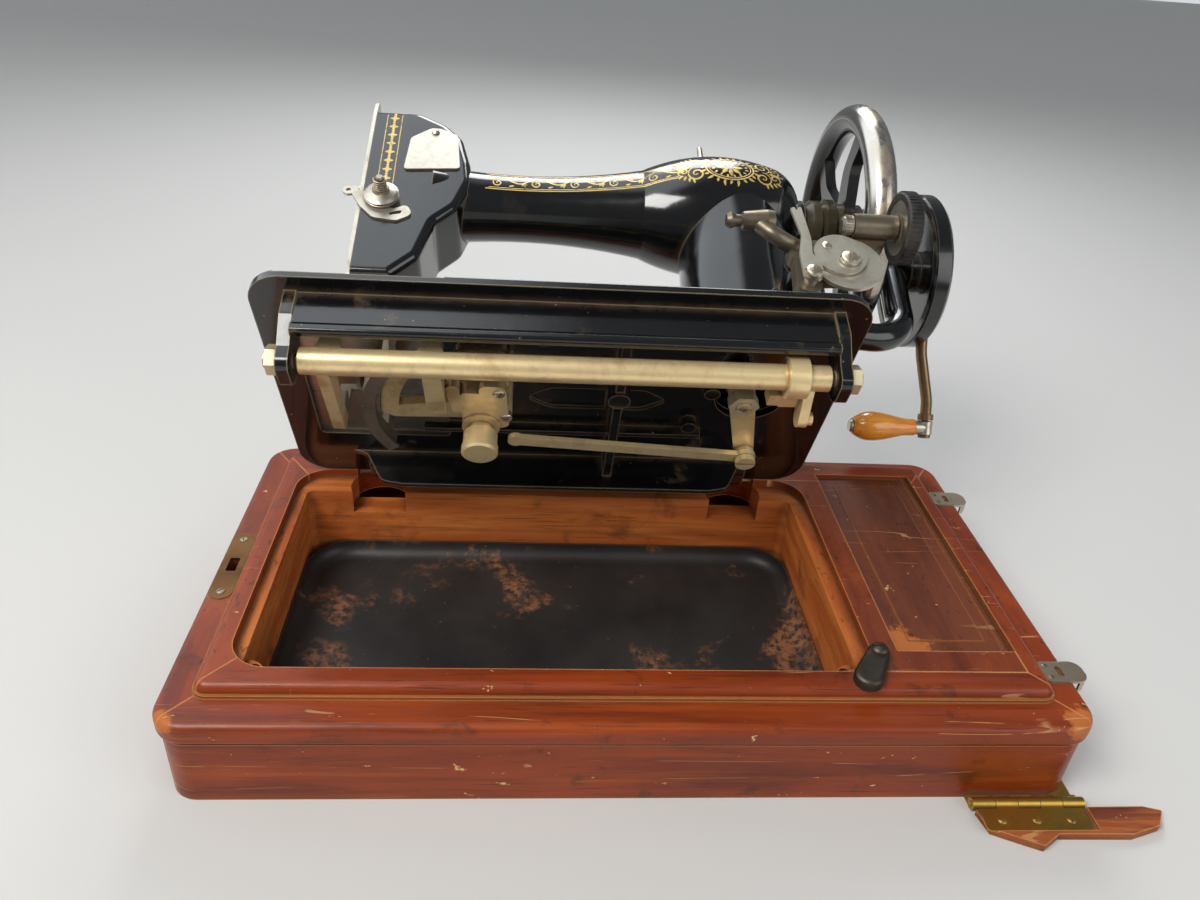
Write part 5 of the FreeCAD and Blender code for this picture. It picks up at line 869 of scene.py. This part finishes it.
class Grower(Tree):
    """Builds one Geometry Nodes tree and turns what it grows into a mesh."""

    def __init__(self, name: str) -> None:
        """Start an empty tree with a geometry output."""
        super().__init__(bpy.data.node_groups.new(name, "GeometryNodeTree"))
        self.name = name
        self.sizes: dict[str, float] = {}
        for way in ("INPUT", "OUTPUT"):
            self.tree.interface.new_socket("Geometry", in_out=way,
                                           socket_type="NodeSocketGeometry")
        self.start = self.node("NodeGroupInput")

    def size(self, name: str, value: float) -> Socket:
        """Add a named size to the tree and give the socket that it comes from."""
        kind = "NodeSocketInt" if isinstance(value, int) else "NodeSocketFloat"
        made = self.tree.interface.new_socket(name, in_out="INPUT", socket_type=kind)
        self.sizes[made.identifier] = value
        return self.start.outputs[name]

    def grow(self, base: Mesh, geometry: Socket,
             material: Material) -> Mesh:
        """Run the tree on a mesh and give what it grew, with nothing live on it."""
        real = self.node("GeometryNodeRealizeInstances", {0: geometry})
        dressed = self.node("GeometryNodeSetMaterial",
                            {"Geometry": real.outputs[0], "Material": material})
        self.node("NodeGroupOutput", {0: dressed.outputs[0]})
        carrier = link(self.name + " carrier", base)
        modifier = carrier.modifiers.new("grow", "NODES")
        modifier.node_group = self.tree
        for key, value in self.sizes.items():
            modifier[key] = value
        mesh = applied(carrier)
        bpy.data.objects.remove(carrier)
        return mesh


@dataclass(frozen=True)
class Head:
    """One screw head: its place, the way it faces, its radius and its slot's turn."""

    place: Vector
    facing: Vector
    radius: float
    turn: float

    @classmethod
    def seat(cls, node: str, start: Vector, way: Vector, radius: float, turn: float) -> "Head":
        """Set a head where a ray from a clear point meets a CAD node.

        Args:
            radius: The head's radius in millimetres.
            turn: The slot's turn in degrees.
        """
        found = surface(node).ray_cast(start, way, 0.2)[0]
        if found is None:
            raise ValueError(f"no {node} under the screw head at {start}")
        return cls(found, -way, radius * MM, turn)


class ScrewHeads:
    """Slotted round screw heads, all grown from one modelled head."""

    turns = 28
    profile = ((0.0, -0.3), (1.0, -0.3), (1.0, 0.06), (0.93, 0.16), (0.7, 0.27), (0.38, 0.34),
               (0.0, 0.37))
    slot_place = (0, 0, 0.47)
    slot_size = (2.4, 0.26, 0.6, 1)

    def __init__(self) -> None:
        """Model the head: a low dome 1 mm in radius with a slot."""
        self.model = self._head()

    def _head(self) -> Thing:
        """Turn the dome and cut the slot, and hide the object that holds it."""
        form = bmesh.new()
        rings = []
        for r, z in self.profile:
            angles = [k / self.turns * math.tau for k in range(self.turns if r else 1)]
            rings.append([form.verts.new((r * math.cos(a), r * math.sin(a), z))
                          for a in angles])
        for low, high in zip(rings, rings[1:]):
            for k in range(self.turns):
                corner = (low[k % len(low)], low[(k + 1) % len(low)],
                          high[(k + 1) % len(high)], high[k % len(high)])
                form.faces.new(list(dict.fromkeys(corner)))
        dome = link("head model", mesh_from("head", form))
        form = bmesh.new()
        bmesh.ops.create_cube(form, size=1.0, matrix=Matrix.Translation(self.slot_place) @
                              Matrix.Diagonal(self.slot_size))
        blade = link("blade", mesh_from("blade", form))
        cut = dome.modifiers.new("slot", "BOOLEAN")
        cut.operation = "DIFFERENCE"
        cut.object = blade
        cut.solver = "EXACT"
        dome.data = applied(dome)
        dome.modifiers.clear()
        bpy.data.objects.remove(blade)
        dome.hide_render = True
        dome.hide_viewport = True
        return dome

    def clear(self) -> None:
        """Take the model away once every head is grown."""
        bpy.data.objects.remove(self.model)

    def drive(self, name: str, heads: Sequence[Head], body: str, slot: str,
              material: Material) -> None:
        """Grow one piece holding all the heads given, riding on a body."""
        base = bpy.data.meshes.new(name)
        base.from_pydata([h.place[:] for h in heads], [], [])
        base.attributes.new("turned", "FLOAT_VECTOR", "POINT")
        base.attributes.new("size", "FLOAT", "POINT")
        # Adding an attribute moves the others, so both are looked up again.
        turn, size = base.attributes["turned"], base.attributes["size"]
        for k, head in enumerate(heads):
            facing = head.facing.to_track_quat("Z", "Y")
            spin = Matrix.Rotation(math.radians(head.turn), 4, "Z").to_quaternion()
            turn.data[k].vector = (facing @ spin).to_euler()
            size.data[k].value = head.radius
        g = Grower(name)
        model = g.node("GeometryNodeObjectInfo", {"Object": self.model},
                       transform_space="ORIGINAL")
        ways, sizes = (g.node("GeometryNodeInputNamedAttribute", {"Name": label}, data_type=kind)
                       for label, kind in (("turned", "FLOAT_VECTOR"), ("size", "FLOAT")))
        angle = g.node("FunctionNodeEulerToRotation", {0: ways.outputs["Attribute"]})
        scale = g.node("ShaderNodeVectorMath", {
            0: (1, 1, 1), "Scale": sizes.outputs["Attribute"]}, operation="SCALE")
        spread = g.node("GeometryNodeInstanceOnPoints", {
            "Points": g.start.outputs[0], "Instance": model.outputs["Geometry"],
            "Rotation": angle.outputs[0], "Scale": scale.outputs[0]})
        piece(name, g.grow(base, spread.outputs[0], material), body, slot, material)


@dataclass(frozen=True)
class Grown:
    """Something grown about its own axis and then put in place, in millimetres."""

    name: str

    def shape(self, g: Grower) -> Socket:
        """Lay out the tree and give its geometry."""
        raise NotImplementedError

    def build(self, place: Matrix, body: str, slot: str, material: Material) -> None:
        """Grow the piece with its foot and axis at a placement in the world."""
        g = Grower(self.name)
        mesh = g.grow(bpy.data.meshes.new(self.name), self.shape(g), material)
        mesh.transform(place)
        piece(self.name, mesh, body, slot, material)


@dataclass(frozen=True)
class BarRing(Grown):
    """Equal bars along a ring's axis: ribs, knurling or the teeth of a ring gear."""

    count: int
    radius: float
    depth: float
    width: float
    length: float

    def shape(self, g: Grower) -> Socket:
        """Bars that face outwards from a circle."""
        circle = g.node("GeometryNodeMeshCircle", {
            "Vertices": g.size("Count", self.count),
            "Radius": g.size("Radius", self.radius * MM)})
        extent = g.node("ShaderNodeCombineXYZ", {
            "X": g.size("Depth", self.depth * MM), "Y": g.size("Width", self.width * MM),
            "Z": g.size("Length", self.length * MM)})
        bar = g.node("GeometryNodeMeshCube", {"Size": extent.outputs[0]})
        outward = g.node("FunctionNodeAlignRotationToVector", {
            "Vector": g.node("GeometryNodeInputPosition").outputs[0]}, axis="X")
        return g.node("GeometryNodeInstanceOnPoints", {
            "Points": circle.outputs[0], "Instance": bar.outputs["Mesh"],
            "Rotation": outward.outputs[0]}).outputs[0]


@dataclass(frozen=True)
class Coil(Grown):
    """A round-wire spring."""

    turns: float
    radius: float
    length: float
    wire: float

    def shape(self, g: Grower) -> Socket:
        """A round wire along a spiral."""
        turns, radius = g.size("Turns", self.turns), g.size("Radius", self.radius * MM)
        path = g.node("GeometryNodeCurveSpiral", {
            "Resolution": 28, "Rotations": turns, "Start Radius": radius, "End Radius": radius,
            "Height": g.size("Length", self.length * MM)})
        ring = g.node("GeometryNodeCurvePrimitiveCircle", {
            "Resolution": 10, "Radius": g.size("Wire", self.wire * MM)})
        return g.node("GeometryNodeCurveToMesh", {
            "Curve": path.outputs[0], "Profile Curve": ring.outputs[0],
            "Fill Caps": True}).outputs[0]


# Scene

@dataclass(frozen=True)
class Viewpoint:
    """The photograph's camera, with its angles in degrees and its lens in millimetres."""

    place: Point = (-0.0576, -0.4041, 0.3710)
    pitch: float = 31.24
    yaw: float = -5.493
    roll: float = 4.414
    lens: float = 27.57

    def build(self) -> None:
        """Put the camera in the scene."""
        pitch, yaw, roll = (math.radians(a) for a in (self.pitch, self.yaw, self.roll))
        right = Vector((math.cos(yaw), math.sin(yaw), 0))
        ahead = Vector((-math.sin(yaw), math.cos(yaw), 0))
        look = ahead * math.cos(pitch) - Vector((0, 0, math.sin(pitch)))
        up = ahead * math.sin(pitch) + Vector((0, 0, math.cos(pitch)))
        across = right * math.cos(roll) + up * math.sin(roll)
        upward = up * math.cos(roll) - right * math.sin(roll)
        camera = link("camera", bpy.data.cameras.new("camera"))
        camera.data.lens = self.lens
        camera.data.sensor_width = 36.0
        camera.data.clip_start = 0.01
        camera.matrix_world = Matrix.Translation(Vector(self.place)) @ Matrix(
            (across, upward, -look)).transposed().to_4x4()
        bpy.context.scene.camera = camera


@dataclass(frozen=True)
class Lamp:
    """One soft square lamp: its place, what it points at, its side, watts and tint."""

    name: str
    place: Point
    aim: Point
    size: float
    power: float
    colour: Colour = (1, 1, 1)

    def build(self) -> None:
        """Hang the lamp."""
        light = bpy.data.lights.new(self.name, "AREA")
        light.size = self.size
        light.energy = self.power
        light.color = self.colour
        made = link(self.name, light)
        made.location = self.place
        way = Vector(self.aim) - Vector(self.place)
        made.rotation_euler = way.to_track_quat("-Z", "Y").to_euler()


@dataclass(frozen=True)
class Studio:
    """Pale floor, soft lamps and a pale surround with one bright window to reflect."""

    floor: Colour = (0.62, 0.61, 0.59)
    air: Colour = (0.70, 0.74, 0.78)
    window: Point = (-0.62, 0.30, 0.72)
    ambient: float = 0.42
    walls: float = 0.22
    glare: float = 2.4
    seen: float = 0.95
    lamps: tuple[Lamp, ...] = (
        Lamp("key", (-0.8, -0.6, 1.3), (0, 0, 0.08), 0.7, 19.0, (1.0, 0.98, 0.95)),
        Lamp("fill", (1.1, -0.9, 0.8), (0, 0, 0.08), 1.1, 7.0),
        Lamp("rear", (0.1, 1.2, 1.1), (0, 0.05, 0.15), 0.7, 11.0, (0.95, 0.98, 1.0)))

    def _lay_floor(self) -> None:
        """Lay the floor."""
        form = bmesh.new()
        bmesh.ops.create_grid(form, x_segments=1, y_segments=1, size=6.0)
        floor = link("floor", mesh_from("floor", form))
        paint = bpy.data.materials.new("floor")
        paint.use_nodes = True
        shader = paint.node_tree.nodes["Principled BSDF"]
        shader.inputs["Base Color"].default_value = (*self.floor, 1)
        shader.inputs["Roughness"].default_value = 0.75
        floor.data.materials.append(paint)

    def _light_air(self) -> None:
        """Light the world, with the window for glossy rays alone."""
        world = bpy.data.worlds.new("room")
        bpy.context.scene.world = world
        world.use_nodes = True
        b = Bench(world.node_tree)
        world.node_tree.nodes.clear()
        path = b.node("ShaderNodeLightPath")
        toward = b.vector("DOT_PRODUCT", b.node("ShaderNodeTexCoord").outputs["Generated"],
                          self.window)
        pane = b.step(toward.outputs["Value"], 0.72, 0.86)
        strength = b.fade(path.outputs["Is Glossy Ray"], self.ambient,
                          b.fade(pane, self.walls, self.glare))
        back = b.node("ShaderNodeBackground", {
            "Color": self.air,
            "Strength": b.fade(path.outputs["Is Camera Ray"], strength, self.seen)})
        b.node("ShaderNodeOutputWorld", {0: back.outputs[0]})

    def build(self) -> None:
        """Lay the floor, light the world and hang the lamps."""
        self._lay_floor()
        self._light_air()
        for lamp in self.lamps:
            lamp.build()
        bpy.context.scene.view_settings.view_transform = "Standard"


def case_finishes() -> Sequence[tuple[Finish, str]]:
    """Finishes of the case, each with the nodes that it goes on."""
    corner = ((-0.216, -0.115, 0.05), 0.009), ((0.213, -0.115, 0.05), 0.012)
    lid_spot = (((0.134, -0.076, 0.054), 0.022),)
    x, y = Along.X, Along.Y
    return (
        (Varnish("board along x", x), "front_board back_board"),
        (Varnish("board along y", y), "left_board right_board"),
        (Varnish("rail along x", x, spots=corner, patch=0.64, wear=0.3),
         "front_rail back_rail"),
        (Varnish("rail along y", y, spots=corner, wear=0.3), "left_rail right_rail"),
        (Varnish("divider", y, body=tone(122, 52, 20), wear=0.3), "divider_rail"),
        (Varnish("lid panel", y, deep=tone(84, 36, 16), body=tone(116, 56, 28),
                 warm=tone(136, 72, 38), gloss=0.38, rim=0.12, wear=1.3, spots=lid_spot),
         "compartment_lid"),
        (Varnish("moulding", x, body=tone(120, 62, 38), gloss=0.5, coat=0.05, patch=0.5),
         "flap_moulding"),
        (BareWood("well wood along x", x), "bottom_panel well_front_wall well_back_wall"),
        (BareWood("well wood along y", y), "well_left_wall well_right_wall corner_posts"),
        (BlackSheet("tray"), "drip_tray"),
        (Metal("bronze plate", tone(122, 88, 56), tone(70, 48, 30), rough=0.42), "lock_plate"),
        (Metal("dull nickel", tone(196, 184, 160), tone(120, 92, 62), rough=0.34, rust=0.3),
         "catch_plates hinge_fittings"),
        (Metal("iron", tone(86, 80, 72), tone(44, 38, 34), rough=0.46, rust=0.3),
         "turn_button turn_button_screw"),
        (Metal("yellow brass", tone(196, 158, 74), tone(110, 82, 36), rough=0.34),
         "butt_leaf flap_leaf"))


def machine_finishes(wheel: Vector) -> Sequence[tuple[Finish, str]]:
    """Finishes of the machine, each with the nodes that it goes on."""
    return (
        (Japan("arm japan", wear=0.9, specks=0.76, dusty=0.05, gloss=0.05), "arm"),
        (Japan("bed japan", wear=0.42, specks=0.70, dusty=0.35), "bed"),
        (Japan("bracket japan", wear=0.8, dusty=0.1), "crank_bracket crank_wheel"),
        (Metal("straw nickel", tone(246, 220, 166), tone(156, 110, 60), amount=0.6, rough=0.30,
               rust=0.16, shine=0.6),
         "rock_shaft shuttle_lever carrier_bracket shuttle_carrier pitman"),
        (Metal("old steel", tone(206, 200, 186), tone(136, 118, 94), rough=0.30, rust=0.15),
         "face_plate needle_bar presser_bar presser_lifter take_up_lever tension_unit "
         "spool_pin needle_plate rear_slide front_slide feed_dog shuttle shuttle_race "
         "clutch_nut winder_spindle grip_knuckle head_cover arm_shaft"),
        (Metal("rusty ends", tone(228, 214, 178), tone(150, 106, 64), rough=0.38, rust=0.30,
               shine=0.7), "pivot_screws"),
        (Metal("winder plate", tone(214, 208, 192), tone(120, 100, 72), rough=0.30, rust=0.2,
               shine=0.8), "winder_cam winder_lever"),
        (Metal("winder frame", tone(128, 118, 100), tone(58, 46, 34), amount=0.8, rough=0.34,
               rust=0.25, shine=0.8), "winder_frame"),
        (Rim("handwheel", wheel, 0.0665, 0.0762), "handwheel"),
        (Metal("crank brass", tone(142, 116, 86), tone(70, 50, 34), rough=0.34, rust=0.2),
         "crank_arm"),
        (Rubber("tyre"), "winder_ring"),
        (Lacquer("grip"), "crank_grip"))


# Centre of the handwheel's plane, as a machine point in millimetres.
WHEEL_CENTRE = (145, 85, 142)


@dataclass
class SmallWork:
    """Screws, knurling, teeth, ribs and springs of the case and the machine."""

    fx: Effects
    place: MachineFrame
    above: float = 0.1
    flap_top: float = 4.3 * MM
    strap_offset: float = 18.9 * MM
    crank: Point = (187.0, 72.0, 118.0)
    pulley: Point = (147.0, 151.0, 70.0)
    tension: Point = (-146.0, 108.0, 122.0)

    def _from_above(self, node: str, x: float, y: float, radius: float, turn: float) -> Head:
        """A head driven straight down into a node of the case."""
        return Head.seat(node, Vector((x, y, self.above)), Vector((0, 0, -1)), radius, turn)

    def case_screws(self, heads: ScrewHeads, dull: Material,
                    brass: Material) -> None:
        """Screws of the lock plate, the catches, the hinge straps and the flap."""
        low, high = corners("lock_plate")
        middle = (low + high) / 2
        reach = (high.y - low.y) / 2 - 6 * MM
        found = [self._from_above("lock_plate", middle.x, middle.y + side * reach, 2.3,
                                  35 + 60 * k) for k, side in enumerate((-1, 1))]
        for strap, turn, step in ((-145.0 * MM, 25, 70), (74.0 * MM, 80, -50)):
            found += [self._from_above("hinge_fittings", strap + side * self.strap_offset,
                                       self.place.hinge.y + 3 * MM, 2.1, turn + step * k)
                      for k, side in enumerate((-1, 1))]
        low, high = corners("catch_plates")
        for k, y in enumerate((low.y + 7 * MM, high.y - 7 * MM)):
            found += [self._from_above("catch_plates", low.x + 3.0 * MM, y + side * 3.9 * MM,
                                       1.6, 15 + 50 * k + 30 * side) for side in (-1, 1)]
        heads.drive("case_screws", found, "base", "bright_steel", dull)
        low, high = corners("flap_leaf")
        found = [Head(Vector((low.x + share * (high.x - low.x), low.y + 5.5 * MM,
                              self.flap_top)), Vector((0, 0, 1)), 2.2 * MM, 40 * k)
                 for k, share in enumerate((0.17, 0.5, 0.83))]
        heads.drive("flap_screws", found, "flap", "old_brass", brass)

    def machine_screws(self, heads: ScrewHeads, steel: Material) -> None:
        """Screws of the face plate, needle plate, winder, bracket and drive.

        Each has its node, a machine point clear of it, the machine direction that it
        is driven in, its radius and its slot's turn.
        """
        inward, back, down, up = (1, 0, 0), (0, -1, 0), (0, 0, -1), (0, 0, 1)
        rows = (
            ("cam_screws", "cam", "bright_steel", (
                ("winder_cam", (111.5, 200, 43), back, 4.9, 75),
                ("winder_cam", (101, 200, 53), back, 2.8, 60))),
            ("lever_screw", "forked_lever", "bright_steel", (
                ("winder_lever", (89.5, 200, 30), back, 4.3, 80),)),
            ("machine_screws", "machine", "bright_steel", (
                ("face_plate", (-200, 92, 76), inward, 3.0, 30),
                ("face_plate", (-200, 96, 196), inward, 3.0, 85),
                ("face_plate", (-200, 72, 132), inward, 3.0, 140),
                ("needle_plate", (-168, 89, 60), down, 2.2, 10),
                ("needle_plate", (-112, 89, 60), down, 2.2, 75),
                ("carrier_bracket", (-71.5, 112, -80), up, 3.1, 60),
                ("carrier_bracket", (-67.6, 92, -80), up, 3.1, -20),
                ("pivot_screws", (54, 116, -90), up, 3.6, 50),
                ("arm", (68, 200, 40), back, 3.4, 15))),
            ("crank_screw", "crank", "old_brass", (
                ("crank_arm", (240, 72, 118), (-1, 0, 0), 4.2, 35),)))
        for name, body, slot, screws in rows:
            found = [Head.seat(node, self.place.point(*start), self.place.way(*way), radius,
                               turn) for node, start, way, radius, turn in screws]
            heads.drive(name, found, body, slot, steel)

    def rings(self, steel: Material, black: Material,
              iron: Material) -> None:
        """Ribs of the tyre, knurling of the chuck and nuts, teeth in the crank wheel."""
        x, v, w = self.pulley
        cx, cv, cw = self.crank
        tx, tv, tw = self.tension
        outward, front = (1, 0, 0), (0, 1, 0)
        rows = (
            (BarRing("tyre_ribs", 52, 19.4, 0.9, 0.8, 6.4), (x, v, w), outward,
             "winder_shaft", "rubber", black),
            (BarRing("chuck_knurl", 26, 5.3, 0.7, 0.45, 4.0), (115.4, v, w), outward,
             "winder_shaft", "bright_steel", steel),
            (BarRing("crank_teeth", 72, 42.6, 2.4, 1.5, 5.0), (cx + 3.4, cv, cw), outward,
             "crank", "black_japan", iron),
            (BarRing("tension_knurl", 22, 4.7, 0.6, 0.5, 1.2), (tx, tv + 7.8, tw), front,
             "machine", "bright_steel", steel),
            (Coil("tension_spring", 4.5, 3.5, 7.0, 0.4), (tx, tv + 8.6, tw), front,
             "machine", "bright_steel", steel))
        for grown, start, way, body, slot, material in rows:
            grown.build(self.place.axle(start, way), body, slot, material)

    def build(self) -> None:
        """Make the finishes and every small piece."""
        steel, dull, brass, rubber, iron = (finish.material(self.fx) for finish in (
            Metal("screw steel", tone(214, 204, 182), tone(132, 108, 78), rough=0.32, rust=0.2),
            Metal("dull screw", tone(150, 138, 116), tone(92, 68, 46), rough=0.42, rust=0.35),
            Metal("brass screw", tone(206, 170, 92), tone(122, 92, 44), rough=0.34),
            Rubber("rib rubber"), Japan("tooth japan", wear=0.5, dusty=0.3)))
        heads = ScrewHeads()
        self.case_screws(heads, dull, brass)
        self.machine_screws(heads, steel)
        heads.clear()
        self.rings(steel, rubber, iron)


def main() -> None:
    """Build the scene in order."""
    logging.basicConfig(level=logging.INFO, format="%(name)s %(message)s")
    fx = Effects()
    place = MachineFrame()
    Viewpoint().build()
    Studio().build()
    wheel = place.point(*WHEEL_CENTRE)
    for finish, nodes in (*case_finishes(), *machine_finishes(wheel)):
        dress(finish.material(fx), *nodes.split())
    GoldOrnament(place).build(GoldLeaf("gold leaf").material(fx))
    SmallWork(fx, place).build()
    bpy.context.view_layer.update()


if __name__ == "__main__":
    main()
